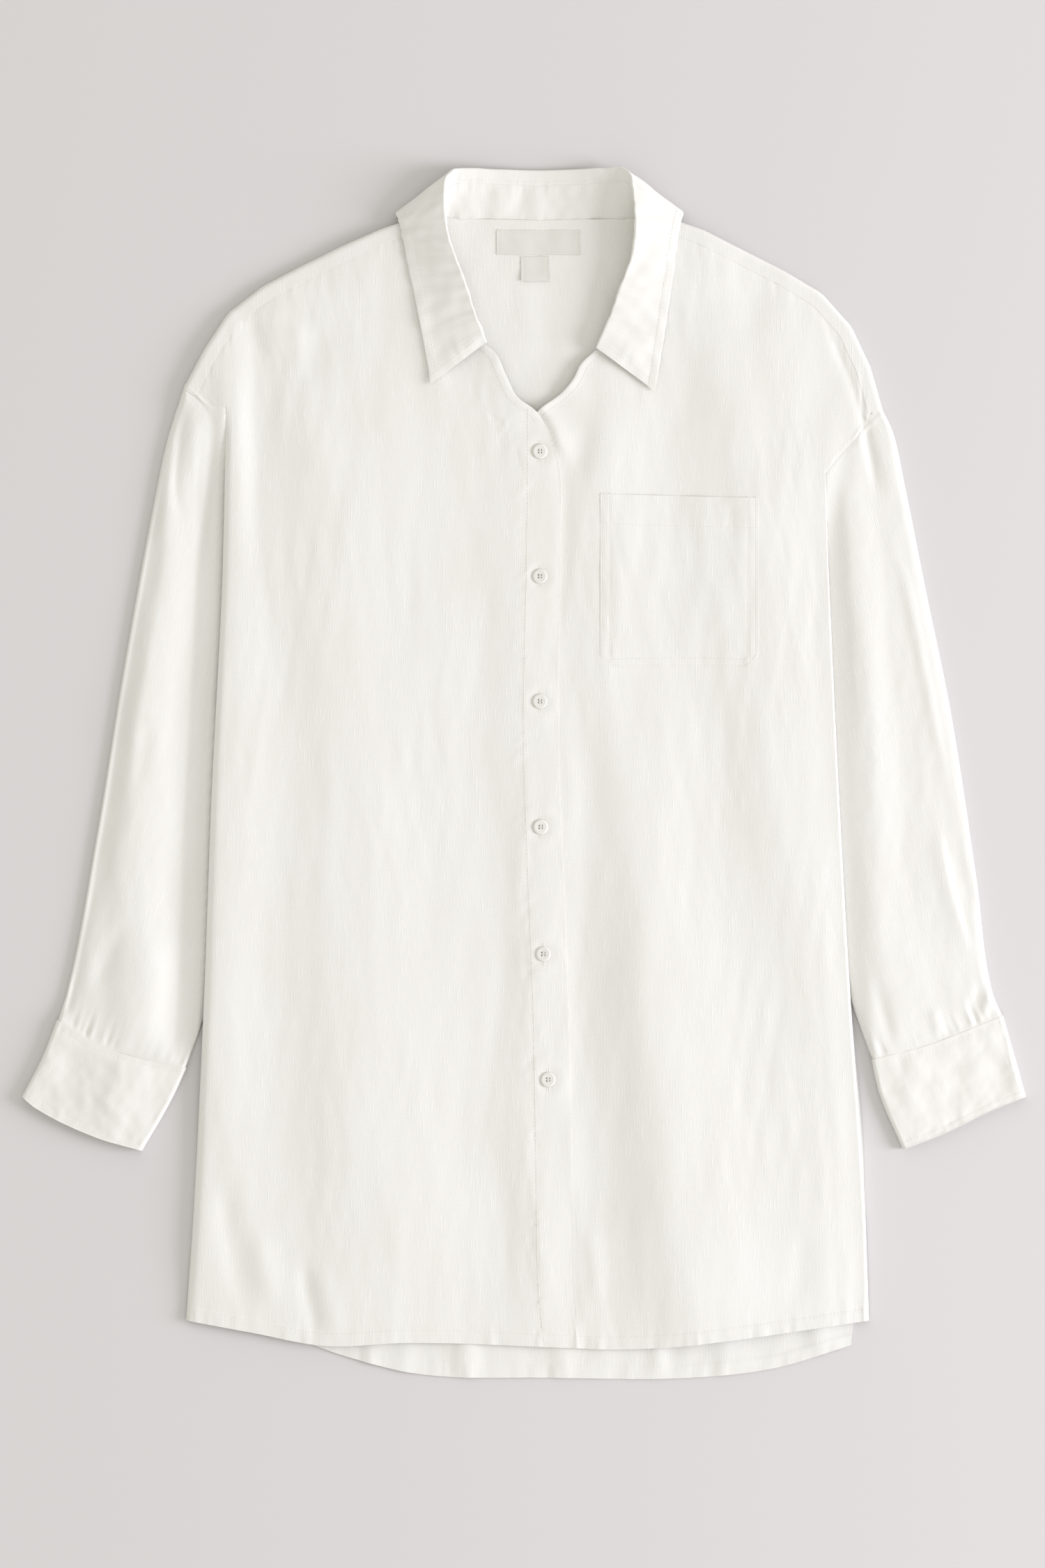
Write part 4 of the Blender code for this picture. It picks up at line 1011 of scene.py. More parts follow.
# %% Make the over front
def over_front_net():
    """Net of the front that laps over, with its band, buttons' dimples and neck edge."""
    us = 1 - spaced(OVER_WIDTH, 2.7, (0, 2.4, 0.6), (22, 32, 1.1), (OVER_WIDTH - 5, OVER_WIDTH, 0.7))[::-1]
    top = shoulder(OVER_SHOULDER, SHOULDER_STRIP - LAP)
    start, end = top(np.array([0.0, 1.0]))
    side = joined((ARMHOLE_SHARE, curve(OVER_SIDE + [OVER_ARMHOLE[0]])),
                  (1.0, curve([*OVER_ARMHOLE[:-1], start])))
    neck = [OVER_NECK[-1], *foot_line(ON_OVER, -CLOTH - 2 * SEAM, 0.0)[:-1], end]
    edge = joined((EDGE_SHARES[0], curve(OVER_EDGE)), (EDGE_SHARES[1], curve(OVER_NECK)),
                  (1.0, curve(neck)))
    plan = patch(curve(FRONT_OVER_HEM), top, side, edge, us, FRONT_ROWS)
    x, y = plan[..., 0], plan[..., 1]
    from_edge = (1 - us)[None] * widths(plan)
    high = body_top(x, y) + hem_height(y - line_y(FRONT_HEMS, x), x, 33)
    band = 1 - smooth((y - 262.0) / 14.0)
    calm = smooth((y + 430.0) / 40.0) * smooth((266.0 - y) / 16.0)
    calm = calm * (1 + 0.6 * smooth((y - 190.0) / 25.0))
    high = high + edge_finish(from_edge, y, 41, BAND_STITCH, calm, 0.9) * band + button_dimples(x, y)
    in_neck = smooth((y - 250.0) / 14.0)
    fallen = 0.32 * (1 - smooth(from_edge / 3.4)) * (0.8 + 0.5 * ripple(y, 47, 9.0))
    high = high + (edge_finish(from_edge, y, 43, 6.0) - fallen) * in_neck
    return front_net(plan, us, FRONT_ROWS, 0, high)


over_net = over_front_net()
front_over = cloth("front_over_linen", over_net, over_net[..., :2], linen)

# %% Make the under front
def under_front_top(x, y):
    """The under front lies just below the band of the over front."""
    past_edge = x - line_x(OVER_FRONT_EDGE, y)
    reach = 22.0 - 10.0 * smooth((y - 100.0) / 40.0) - 9.4 * smooth((y - 222.0) / 22.0)
    under_edge = 0.9 * (1 - smooth((past_edge - 1.0) / reach))
    under_edge = under_edge + 0.4 * (1 - smooth((past_edge + 14.0) / 10.0))
    corner = 1.1 * smooth((past_edge - 0.4) / 2.2) * (1 - smooth((past_edge - 2.6) / 15.0))
    corner = corner * smooth((y - 228.0) / 20.0)
    near_hem = smooth((y + 412.0) / 14.0) * smooth((-296.0 - y) / 30.0)
    pinched = 0.45 * near_hem * (1 - smooth((past_edge - 0.6) / 5.0))
    return body_top(x, y) + button_dimples(x, y) - under_edge - pinched + corner


def under_front_net():
    """Net of the front that goes on a little way below the other's band."""
    us = spaced(UNDER_WIDTH, 2.6, (0, 2.4, 0.6), (UNDER_WIDTH - 5, UNDER_WIDTH, 0.7))
    top = shoulder(UNDER_SHOULDER_BACK, SHOULDER_STRIP - LAP)
    start, end = top(np.array([0.0, 1.0]))
    hidden_edge = [(x - BAND, y) for x, y in OVER_EDGE[1:-1]]
    neck = [UNDER_NECK[-1], *foot_line(ON_UNDER, CLOTH + 2 * SEAM, 0.0)[:-1], start]
    edge = joined((EDGE_SHARES[0], curve([FRONT_UNDER_HEM[0], *hidden_edge, UNDER_NECK[0]])),
                  (EDGE_SHARES[1], curve(UNDER_NECK)), (1.0, curve(neck)))
    side = joined((ARMHOLE_SHARE, curve([*UNDER_SIDE, UNDER_ARMHOLE[0]])),
                  (1.0, curve([*UNDER_ARMHOLE[:-1], end])))
    plan = patch(curve(FRONT_UNDER_HEM), top, edge, side, us, FRONT_ROWS)
    x, y = plan[..., 0], plan[..., 1]
    from_edge = us[None] * widths(plan)
    high = under_front_top(x, y) + hem_height(y - line_y(FRONT_UNDER_HEM, x), x, 35)
    in_neck = smooth((y - 256.0) / 12.0)
    rolled = 0.7 * (1 - smooth((from_edge - 0.8) / 4.6)) * (0.85 + 0.4 * ripple(y, 49, 7.0))
    high = high + (edge_finish(from_edge, y, 45, 6.0) + rolled) * in_neck
    return front_net(plan, us, FRONT_ROWS, 1, high)


under_net = under_front_net()
front_under = cloth("front_under_linen", under_net, under_net[..., :2], linen)

# %% [markdown]
# ## Sleeves and cuffs
# A sleeve is a tube pressed flat: its upper side over its lower side between two folded
# edges. It is thin where the body lies on it, and puffs up once it comes out from under.
# The cuffs are flat tubes of doubled cloth, open at the end, with a stitched edge.

# %% Flat tubes
def flat_tube(shape, us, vs, height, roll, above, raised=lambda x, y: 0.0, rim=0.5, upper_roll=None):
    """Rings of a flattened tube, and its UVs.

    above adds height to its upper side and raised to its lower one; rim is the share of its
    height at which the two meet, and upper_roll how far in the upper one turns down, row by row.
    """
    plan = patch(curve(shape["bottom"]), curve(shape["top"]),
                 curve(shape["outer"][::-1]), curve(shape["inner"][::-1]), us, vs)
    x, y = plan[..., 0], plan[..., 1]
    width = widths(plan)
    from_start, from_end = us[None] * width, (1 - us)[None] * width
    share = turn(from_start, roll) * turn(from_end, roll)
    wide = share if upper_roll is None else turn(from_start, upper_roll) * turn(from_end, upper_roll)
    tall = height(x, y)
    edge_free = smooth(np.minimum(us, 1 - us)[None] * width / 5.0)
    upper_z = tall * (rim + (1 - rim) * wide) + above(x, y, from_start, vs) * edge_free
    lower_z = np.maximum(tall * rim * (1 - share), 0.05) + raised(x, y)
    upper = np.stack((x, y, upper_z), axis=-1)
    lower = np.stack((x, y, lower_z), axis=-1)
    net = np.concatenate((upper, lower[:, -2:0:-1]), axis=1)
    around = np.concatenate((us, 2 - us[-2:0:-1], [2.0])) * width.mean()
    length = lengths(plan[:, plan.shape[1] // 2])
    uv = np.stack(np.meshgrid(around, length), axis=-1)
    return net, uv


def wound_right(net, uv, under):
    """Turns a tube's rings round for the side whose outer edge is on the right."""
    return (net[:, ::-1], uv[:, ::-1]) if under else (net, uv)


def outer_length(shape):
    """Straight length of a tube's outer edge."""
    return np.linalg.norm(np.subtract(shape["outer"][0], shape["outer"][-1]))


print("cuffs are", CUFF_HEIGHT, "mm high, and", round(outer_length(CUFF_OVER), 1), "mm long")

# %% Make the sleeves
# Long crest and trough lines of each sleeve, from its left to its right
SLEEVE_OVER_LINES = (
    ((-176, -334, -1.6), (-100, -318, -1.8), (0, -303, -1.9), (100, -287, -1.6), (200, -270, -0.8),
     (270, -256, 0)),
    ((-176, -292, 0.4), (-140, -290, 0.7), (-100, -291, 0.9), (0, -286, 1.0), (60, -279, 1.0),
     (140, -265, 0.8), (200, -261, 0.5), (270, -250, 0.2)),
    ((-176, -254, -0.7), (-100, -252, -0.8), (0, -252, -0.7), (100, -243, -0.6), (140, -238, -0.4),
     (200, -230, -0.2), (270, -226, 0.0)),
)
SLEEVE_UNDER_LINES = (
    ((-190, 268, -0.2), (-140, 252, -0.4), (0, 246, -0.5), (140, 230, -0.3), (240, 228, 0.0)),
    ((-190, 276, 0.7), (-140, 266, 0.8), (-60, 260, 0.8), (60, 256, 0.9), (140, 246, 0.8),
     (200, 244, 0.6), (240, 244, 0.3)),
    ((-190, 306, -0.6), (-140, 297, -0.6), (-60, 286, -0.7), (60, 275, -0.7), (140, 267, -0.6),
     (200, 260, -0.5), (240, 257, -0.2)),
    ((-180, 352, -0.7), (-80, 338, -0.8), (60, 307, -0.7), (140, 292, -0.6), (240, 272, -0.2)),
)
TAKEN_IN = 0.6               # how much narrower a sleeve is at each edge where it meets the cuff


def lapped(shape, at_top, at_bottom):
    """A sleeve's outlines run on at both ends, and a little narrower where the cuff takes it in."""
    shape = {key: [np.array(p) for p in points] for key, points in shape.items()}
    outer, inner = shape["outer"], shape["inner"]
    across = unit(inner[-1] - outer[-1])
    ends = {key: (unit(line[0] - line[1]), unit(line[-1] - line[-2])) for key, line in shape.items()}
    for key, side in (("outer", across), ("inner", -across)):
        line = shape[key]
        line[-1] = line[-1] + side * TAKEN_IN
        line.append(line[-1] + ends[key][1] * at_bottom)
        line.insert(0, line[0] + ends[key][0] * at_top)
    for key, k, far in (("top", 0, at_top), ("bottom", 1, at_bottom)):
        start, end = ends["outer"][k], ends["inner"][k]
        shares = np.linspace(0.0, 1.0, len(shape[key]))
        shape[key] = [p + far * ((1 - t) * start + t * end) for t, p in zip(shares, shape[key])]
        shape[key][0], shape[key][-1] = outer[-k], inner[-k]
    return {key: [tuple(p) for p in points] for key, points in shape.items()}


def make_sleeve(name, shape, under, lines, table, seed, edge_roll):
    """A sleeve with its long folds and creases; edge_roll is for the upper side's free length."""
    shape = lapped(shape, SLEEVE_LAP, LAP)
    length = outer_length(shape)
    rows = spaced(length, 3.6, (0, 3, 0.75), (3, 26, 1.6), (length - 18, length - 8, 2.0),
                  (length - 8, length, 0.7))
    columns = spaced(SLEEVE_WIDTH, 2.6, (0, 4, 0.8), (4, 64, 1.6), (SLEEVE_WIDTH - 4, SLEEVE_WIDTH, 0.8))

    def from_cuff(x, y):
        return np.maximum(y - line_y(sorted(shape["bottom"]), x) - LAP, 0.0)

    def height(x, y):
        """It goes into the cuff at one end, and under the fronts' edge at the other."""
        tall = sleeve_height(x, y)
        tall = tall + (CUFF_HEIGHT - 0.16 - tall) * bell(from_cuff(x, y), 13.0)
        outside = -inside_body(x, y)
        from_seam = np.maximum(line_y(sorted(shape["top"]), x) - y - SLEEVE_LAP, 0.0)
        joins = bell(from_seam, 34.0 + 30.0 * smooth((outside - 6.0) / 20.0))
        tall = tall + (body_top(x, y) - tall) * joins * smooth((outside + 7.0) / 8.0)
        return tall - 0.24 * bell(from_seam, 2.0)

    def above(x, y, across, vs):
        to_cuff = np.maximum((vs * length)[:, None] - LAP, 0.0)
        to_top = np.maximum(((1 - vs) * length)[:, None] - SLEEVE_LAP, 0.0)
        lead = smooth(to_cuff / 40.0)
        soft = between_lines(lines, x, y) * (0.4 + 0.6 * lead) + creases(table, x, y)
        soft = soft + crumple(x, y, seed, 18, 80, 0.12, 0.16) + crumple(x, y, seed + 1, 7, 18, 0.03, 0.5)
        soft = soft + 0.8 * ripple(across, seed + 2, 9.0) * bell(to_cuff, 14.0)
        soft = soft * smooth((to_cuff + 0.4) / 5.0) * smooth(to_top / 5.0)
        soft = soft + armhole_gathers(x, y) * bell(to_top, 10.0)
        return soft * smooth((-inside_body(x, y) - 1.0) / 14.0)

    def raised(x, y):
        return bell(from_cuff(x, y), 5.0)

    open_share = smooth(rows * length / 30.0) * smooth((1 - rows) * length / 45.0)
    rolls = (SLEEVE_ROLL + (edge_roll - SLEEVE_ROLL) * open_share)[:, None]
    net, uv = flat_tube(shape, columns, rows, height, SLEEVE_ROLL, above, raised, 0.34, rolls)
    return cloth(name, *wound_right(net, uv, under), linen, ring=True)


sleeve_over = make_sleeve("sleeve_over_linen", SLEEVE_OVER, False, SLEEVE_OVER_LINES,
                          SLEEVE_OVER_CREASES, seed=71, edge_roll=17.0)
sleeve_under = make_sleeve("sleeve_under_linen", SLEEVE_UNDER, True, SLEEVE_UNDER_LINES,
                           SLEEVE_UNDER_CREASES, seed=81, edge_roll=7.0)

# %% Make the cuffs
CUFF_STITCHES = (4.6, -3.6)  # from the open end, and from the seam to the sleeve
CUFF_SHARE = 0.993           # a cuff stops a little before its seam line


def make_cuff(name, shape, under, table, seed):
    """A cuff with its creases, its stitched end and the seam to its sleeve."""
    length = outer_length(shape)
    rows = spaced(length, 2.2, (0, 8, 0.9), (length - 5, length, 1.0)) * CUFF_SHARE
    columns = spaced(CUFF_WIDTH, 2.2, (0, 4, 0.8), (CUFF_WIDTH - 4, CUFF_WIDTH, 0.8))

    def above(x, y, across, vs):
        to_end = (vs * length)[:, None]
        to_seam = ((1 - vs) * length)[:, None]
        soft = creases(table, x, y) + crumple(x, y, seed, 9, 34, 0.16, 0.9)
        soft = soft + crumple(x, y, seed + 1, 4, 10, 0.06, 1.2)
        soft = soft + edge_finish(to_end, across, seed + 2, CUFF_STITCHES[0])
        soft = (soft + 0.5 * (1 - turn(to_end, RIM))) * (0.3 + 0.7 * smooth(to_seam / 10.0))
        seam = 0.6 * edge_finish(to_seam, across, seed + 4, -CUFF_STITCHES[1])
        return soft + seam + 0.12 * (1 - turn(to_seam, RIM))

    def height(x, y):
        return np.full_like(x, CUFF_HEIGHT)

    net, uv = flat_tube(shape, columns, rows, height, SLEEVE_ROLL, above)
    net, uv = wound_right(net, uv, under)
    return net, cloth(name, net, uv, linen_double, ring=True, wall=0.6)


cuff_over_net, cuff_over = make_cuff("cuff_over_linen", CUFF_OVER, False, CUFF_OVER_CREASES, 91)
cuff_under_net, cuff_under = make_cuff("cuff_under_linen", CUFF_UNDER, True, CUFF_UNDER_CREASES, 101)

# %% [markdown]
# ## The collar
# A shirt collar is two pieces. The stand rises from the neck seam, and the leaf is sewn to
# its top, turns over the crest and falls outwards to a stitched edge. At the back of the
# neck the collar lies flattened on the table. Each section comes from the collar's table.

# %% Sections of the collar
LEAF_ABOVE = (1.6, 2.6)      # how far the leaf's edge lies above the over and the under front
LEAF_ON_FRONT = 8.6          # where it's higher than this in the table, it lies on a front


def collar_sections(count):
    """Foot, crest, free edge, hang and two directions of many sections along the collar."""
    crest_rows = np.array([row[1] for row in COLLAR])
    knots = lengths(crest_rows)
    at = np.linspace(0.0, knots[-1], count)
    foot_rows = through(knots, [row[0] for row in COLLAR], at)
    crest = through(knots, crest_rows, at)
    edge = through(knots, [row[2] for row in COLLAR], at)
    laid = body_top(edge[:, 0], edge[:, 1]) + np.where(edge[:, 0] < 0, *LEAF_ABOVE)
    edge[:, 2] = np.where(edge[:, 2] > LEAF_ON_FRONT, np.minimum(edge[:, 2], laid), edge[:, 2])
    hang = through(knots, [row[3] for row in COLLAR], at)
    x, y, on_front = foot_rows.T
    seat = lift(x, y) + CLOTH
    foot = np.column_stack((x, y, seat + (body_top(x, y) - seat) * on_front))
    along = unit(np.gradient(crest, axis=0))
    middle = unit(unit(foot - crest) + unit(edge - crest))
    inner = -unit(np.cross(along, middle))
    sway = (0.75 * ripple(at, 111, 15.0) + 0.35 * ripple(at, 112, 6.0)) * smooth((crest[:, 2] - 5.0) / 9.0)
    crest = crest + inner * sway[:, None]
    edge = edge + unit(edge - crest) * (0.45 * ripple(at, 113, 17.0))[:, None]
    return at, foot, crest, edge, hang, middle, inner


def pressed(net, depth):
    """Moves a net's points along its normals."""
    return net + net_normals(net) * depth[..., None]


def down_columns(net):
    """Distance from the first row at every point of a net, down its column."""
    return np.stack([lengths(net[:, i]) for i in range(net.shape[1])], axis=1)


def make_collar_leaf():
    """The leaf: from inside the stand over the crest to its free edge."""
    at, foot, crest, edge, hang, middle, inner = collar_sections(COLLAR_SECTIONS)
    start = crest + inner * COLLAR_FOLD
    down = unit(foot - start)
    rows = [start + down * (STAND_SHORT + 1.4) - inner * 0.9]
    rows += [start + down * (STAND_SHORT - 0.3) * share for share in (1.0, 0.86, 0.7, 0.5, 0.25)]
    for angle in np.radians((90, 65, 40, 15, -15, -40, -65, -90)):
        rows.append(crest + inner * COLLAR_FOLD * math.sin(angle) - middle * COLLAR_FOLD * math.cos(angle))
    top = rows[-1]
    shares = np.concatenate((np.linspace(0, 0.84, 17)[1:], np.linspace(0.84, 1, 9)[1:]))
    for share in shares:
        p = top + (edge - top) * share
        p[:, 2] = edge[:, 2] + (top[:, 2] - edge[:, 2]) * (1 - share) ** hang
        rows.append(p)
    net = np.stack(rows)
    across = down_columns(net)
    to_edge = across[-1] - across
    along = np.broadcast_to(at, across.shape)
    to_end = np.minimum(along, at[-1] - along)
    shown = smooth((net[..., 2] - 3.0) / 6.0)
    depth = crumple(along, across, 115, 9, 40, 0.26, 1.0) * shown
    depth = depth + edge_finish(to_edge, along, 117, 6.0) * smooth(to_end / 4.0) * shown
    depth = depth + edge_finish(to_end, across, 119, 6.0) * (across > 16.0)
    depth = depth + 0.3 * ripple(along, 121, 7.0) * bell(across, 5.0)
    net = pressed(net, depth * smooth(across / 2.0))
    net[..., 2] = np.maximum(net[..., 2], 0.05)
    uv = np.stack((along, across), axis=-1)
    return net, cloth("collar_leaf_linen", net, uv, linen_double, wall=0.9)


def make_collar_stand():
    """The stand: from the neck seam up to where the leaf begins."""
    at, foot, crest, *_, inner = collar_sections(COLLAR_SECTIONS)
    start = crest + inner * COLLAR_FOLD
    end = start + unit(foot - start) * STAND_SHORT
    rows = [foot + (end - foot) * share for share in np.linspace(0.0, 1.0, 14)]
    rows.insert(0, foot - inner * 0.2 - np.array((0.0, 0.0, 0.9)))
    net = np.stack(rows)
    across = down_columns(net)
    to_leaf = across[-1] - across
    along = np.broadcast_to(at, across.shape)
    depth = 0.45 * ripple(along, 121, 7.0) * bell(to_leaf, 6.0)
    depth = depth + 0.3 * ripple(along, 123, 8.0) * bell(across, 5.0)
    depth = depth + crumple(along, across, 125, 10, 30, 0.2, 1.0) - 0.12 * bell(to_leaf, 1.2)
    rim = smooth(np.minimum(to_leaf, across) / 1.5)
    net = pressed(net, depth * rim)
    uv = np.stack((along, across), axis=-1)
    return net, cloth("collar_stand_linen", net, uv, linen_double, wall=0.9)


collar_leaf_net, collar_leaf = make_collar_leaf()
collar_stand_net, collar_stand = make_collar_stand()
print("collar reaches", round(float(collar_leaf_net[..., 2].max()), 1), "mm up")

# %% [markdown]
# ## Pocket and labels
# The breast pocket is one layer sewn on by two lines of stitches at the sides and the bottom;
# its top has a wide hem and stays open. Two bare tapes are sewn inside the back of the neck.

# %% Make the pocket
POCKET_TOPS = (205.8, 202.6)     # height of the opening's two ends
POCKET_HEM = 22.0
POCKET_STITCHES = (1.6, 7.2)     # the two lines of stitches, from the edge


def make_pocket():
    """The pocket, laid on the under front, with its bottom corners cut off."""
    over, under, bottom, corner = (POCKET[k] for k in ("over", "under", "bottom", "corner"))
    width = under - over
    us = spaced(width, 1.7, (0, 8, 0.8), (width - 8, width, 0.8))
    vs = spaced(POCKET_LENGTH, 1.7, (0, 8, 0.8), (POCKET_LENGTH - 8, POCKET_LENGTH, 0.8))
    tops = POCKET_TOPS[0] + (POCKET_TOPS[1] - POCKET_TOPS[0]) * us
    y = bottom + (tops[None] - bottom) * vs[:, None]
    cut = np.maximum(0.0, corner - (y - bottom)) * 0.9
    x = over + cut + (width - 2 * cut) * us[None]
    side = np.minimum(x - over - cut, under - cut - x)
    low = np.minimum(side, y - bottom)
    up = tops[None] - y
    z = under_front_top(x, y) + 0.18 + 0.3 * smooth(low / 14.0)
    z = z + crumple(x, y, 131, 10, 44, 0.07, 0.25) + creases(POCKET_CREASES, x, y)
    for stitched in POCKET_STITCHES:
        z = z - 0.12 * bell(low - stitched, 0.8)
    z = z + 0.14 * ripple(y + x * 0.3, 133, 7.0) * bell(low - 4.0, 5.0)
    z = z - 0.06 * (1 - turn(low, RIM))
    z = z + 0.1 * (1 - smooth((up - POCKET_HEM) / 1.2)) - 0.1 * bell(up - POCKET_HEM, 0.9)
    z = z + 0.1 * bell(up, 9.0) * smooth(side / 24.0) * (1 - 0.5 * ripple(x, 135, 46.0))
    net = np.stack((x, y, z), axis=-1)
    return net, cloth("pocket_linen", net, net[..., :2], linen, wall=0.4)


pocket_net, pocket = make_pocket()

# %% Make the labels
def make_label(name, label, layer, seed, drop):
    """A bare woven tape on the inside of the back; drop bends its free end down or up."""
    (cx, cy), width, height = label["centre"], label["width"], label["height"]
    us, vs = spaced(width, 0.8), spaced(height, 0.8)
    x = cx + width * (us[None] - 0.5) + np.zeros(len(vs))[:, None]
    y = cy + height * (vs[:, None] - 0.5) + 0.35 * ripple(x, seed, 21.0)
    z = lift(x, y) + back_rise(x, y) + WALL + 0.45 + layer
    side = np.minimum(us[None] * width, (1 - us[None]) * width)
    z = z - 0.12 * bell(side - 1.6, 0.5)
    z = z + 0.12 * ripple(y, seed + 1, 5.0) * bell(side, 3.0)
    z = z + drop * smooth((0.6 - vs[:, None]) / 0.6) + crumple(x, y, seed + 2, 9, 34, 0.04, 0.9)
    net = np.stack((x, y, z), axis=-1)
    return net, cloth(name, net, net[..., :2], tape, wall=0.35)


neck_label_net, neck_label = make_label("neck_label_tape", NECK_LABEL, layer=0.0, seed=141, drop=0.1)
size_label_net, size_label = make_label("size_label_tape", SIZE_LABEL, layer=0.05, seed=151, drop=0.7)

# %% [markdown]
# ## Buttons
# Each button is turned from shell: a rounded rim, a shallow dish and four holes. Its profile
# is spun, four small pegs are cut out of it, and two thread bars cross the dish and go down
# the holes. The buttons stay fastened, so each one lies on the band over its buttonhole.

# %% Make the buttons
def spun(name, profile, steps):
    """A closed shape from a profile of (radius, height) rows round the Z axis, in millimetres."""
    bm = bmesh.new()
    rings = []
    for radius, height in profile:
        if radius < 1e-6:
            rings.append([bm.verts.new((0.0, 0.0, height * MM))])
        else:
            turns = [2 * math.pi * i / steps for i in range(steps)]
            rings.append([bm.verts.new((radius * MM * math.cos(a), radius * MM * math.sin(a), height * MM))
                          for a in turns])
    for low, high in zip(rings, rings[1:]):
        for i in range(steps):
            j = (i + 1) % steps
            corners = [low[i % len(low)], low[j % len(low)], high[j % len(high)], high[i % len(high)]]
            bm.faces.new(list(dict.fromkeys(corners)))
    bmesh.ops.recalc_face_normals(bm, faces=bm.faces)
    mesh = mesh_of(bm, name)
    mesh.shade_smooth()
    return put(name, mesh)


def plain_mesh(obj):
    """Turns an object's evaluated shape into its own mesh, with no modifiers left."""
    shape = bpy.data.meshes.new_from_object(obj.evaluated_get(bpy.context.evaluated_depsgraph_get()))
    obj.modifiers.clear()
    obj.data = shape
    return obj


HOLE_AWAY = 1.35             # from the middle of a button to the middle of a hole
HOLE_RADIUS = 0.62
STRAND = 0.17                # radius of a strand of thread
BAR_TOP, BAR_DROP = 1.4, 0.75
BAR_FLAT = 0.72              # share of a bar that is flat, before it turns down into the holes
DISH = ((0.0, 1.05), (2.2, 1.06), (3.0, 1.1), (3.7, 1.17), (4.3, 1.2), (4.8, 1.12), (5.2, 0.94),
        (5.42, 0.74), (5.5, 0.54), (5.4, 0.3), (5.1, 0.13), (4.5, 0.03), (3.6, 0.0), (0.0, 0.0))


def make_button():
    """The pattern of all six buttons: the dish with its four holes."""
    obj = spun("button_pattern", DISH, 36)
    bm = bmesh.new()
    for i in range(4):
        a = math.radians(45 + 90 * i)
        made = bmesh.ops.create_cone(bm, cap_ends=True, segments=12, radius1=HOLE_RADIUS * MM,
                                     radius2=HOLE_RADIUS * MM, depth=6 * MM)
        bmesh.ops.translate(bm, verts=made["verts"],
                            vec=(HOLE_AWAY * MM * math.cos(a), HOLE_AWAY * MM * math.sin(a), 1.0 * MM))
    cutter = put("pegs", mesh_of(bm, "pegs"))
    cut = obj.modifiers.new("holes", "BOOLEAN")
    cut.object = cutter
    cut.operation = "DIFFERENCE"
    plain_mesh(obj)
    bpy.data.objects.remove(cutter)
    obj.data.shade_smooth()
    return obj


def surface_under(obj):
    """The surface of a piece as it is seen, to look for heights on."""
    return BVHTree.FromObject(obj, bpy.context.evaluated_depsgraph_get())


def highest_near(tree, x, y, reach):
    """Height of the highest cloth within reach of a plan point, in millimetres."""
    found = 0.0
    for dx in (-reach, 0.0, reach):
        for dy in (-reach, 0.0, reach):
            hit = tree.ray_cast(Vector(((x + dx) * MM, (y + dy) * MM, 1.0)), Vector((0.0, 0.0, -1.0)))[0]
            found = max(found, hit.z / MM if hit else 0.0)
    return found


def thread_bars(name):
    """Two strands over the dish, from hole to hole, as thin bent tubes."""
    bm = bmesh.new()
    for across in (-1, 1):
        for strand in (-STRAND, STRAND):
            rings = []
            for step in range(9):
                s = step / 8 * 2 - 1
                x = s * HOLE_AWAY * BAR_FLAT
                y = across * HOLE_AWAY * 0.707 + strand
                z = BAR_TOP - BAR_DROP * max(abs(s) - BAR_FLAT, 0.0) / (1 - BAR_FLAT)
                turns = [math.radians(60 * k) for k in range(6)]
                ring = [(x, y + STRAND * math.cos(a), z + STRAND * math.sin(a)) for a in turns]
                rings.append([bm.verts.new(Vector(point) * MM) for point in ring])
            for low, high in zip(rings, rings[1:]):
                for k in range(6):
                    bm.faces.new((low[k], low[(k + 1) % 6], high[(k + 1) % 6], high[k]))
            bm.faces.new(rings[0])
            bm.faces.new(rings[-1][::-1])
    bmesh.ops.recalc_face_normals(bm, faces=bm.faces)
    mesh = mesh_of(bm, name)
    mesh.shade_smooth()
    return mesh


pattern = make_button()
front_tree = surface_under(front_over)
buttons, button_threads = [], []
for number, (x, y) in enumerate(BUTTONS, start=1):
    z = highest_near(front_tree, x, y, 3.6) + 0.05
    tilt = Vector((0.0, 0.0, 1.0)).rotation_difference(Vector((0.03 * math.sin(number * 2.1), 0.02, 1.0)))
    place = Matrix.Translation(Vector((x, y, z)) * MM) @ tilt.to_matrix().to_4x4()
    made = put(f"button_{number}_shell", pattern.data.copy())
    bars = put(f"button_{number}_thread", thread_bars(f"bars_{number}"))
    for piece, finish in ((made, shell), (bars, thread)):
        piece.data.transform(place)
        piece.data.materials.clear()
        piece.data.materials.append(finish)
    buttons.append(made)
    button_threads.append(bars)
    print(f"button {number}: {len(made.data.polygons)} faces, lies {z:.2f} mm up")
bpy.data.objects.remove(pattern)

# %% [markdown]
# ## Stitches
# Every seam and hem is held by small stitches about 2.6 mm long. Their lines are found on the
# panels' own nets, at a distance from an edge. A Geometry Nodes group turns each line into
# evenly spaced places and lays one slim grain of thread on each, along the line, with small
# differences in length. The result is applied, so each line is a plain mesh of its own.

# %% Lines on the panels
def line_across(net, distance, ring=False):
    """Line at a distance from a net's first row, or from its last one if it's negative."""
    rows = net if distance >= 0 else net[::-1]
    points = []
    for i in range(net.shape[1]):
        far = lengths(rows[:, i])
        points.append([np.interp(abs(distance), far, rows[:, i, k]) for k in range(3)])
    if ring:
        points.append(points[0])
    return np.array(points)


def line_up(net, distance):
    """Line at a distance from a net's first column, or from its last one if it's negative."""
    return line_across(net.transpose(1, 0, 2), distance)


def kept_where(points, keep):
    """The parts of a line whose points pass a test."""
    parts, part = [], []
    for point in points:
        if keep(*point):
            part.append(point)
        elif part:
            parts.append(part)
            part = []
    if part:
        parts.append(part)
    return [np.array(part) for part in parts if len(part) > 2]


UP = 0.04                    # how far stitches stand off the cloth


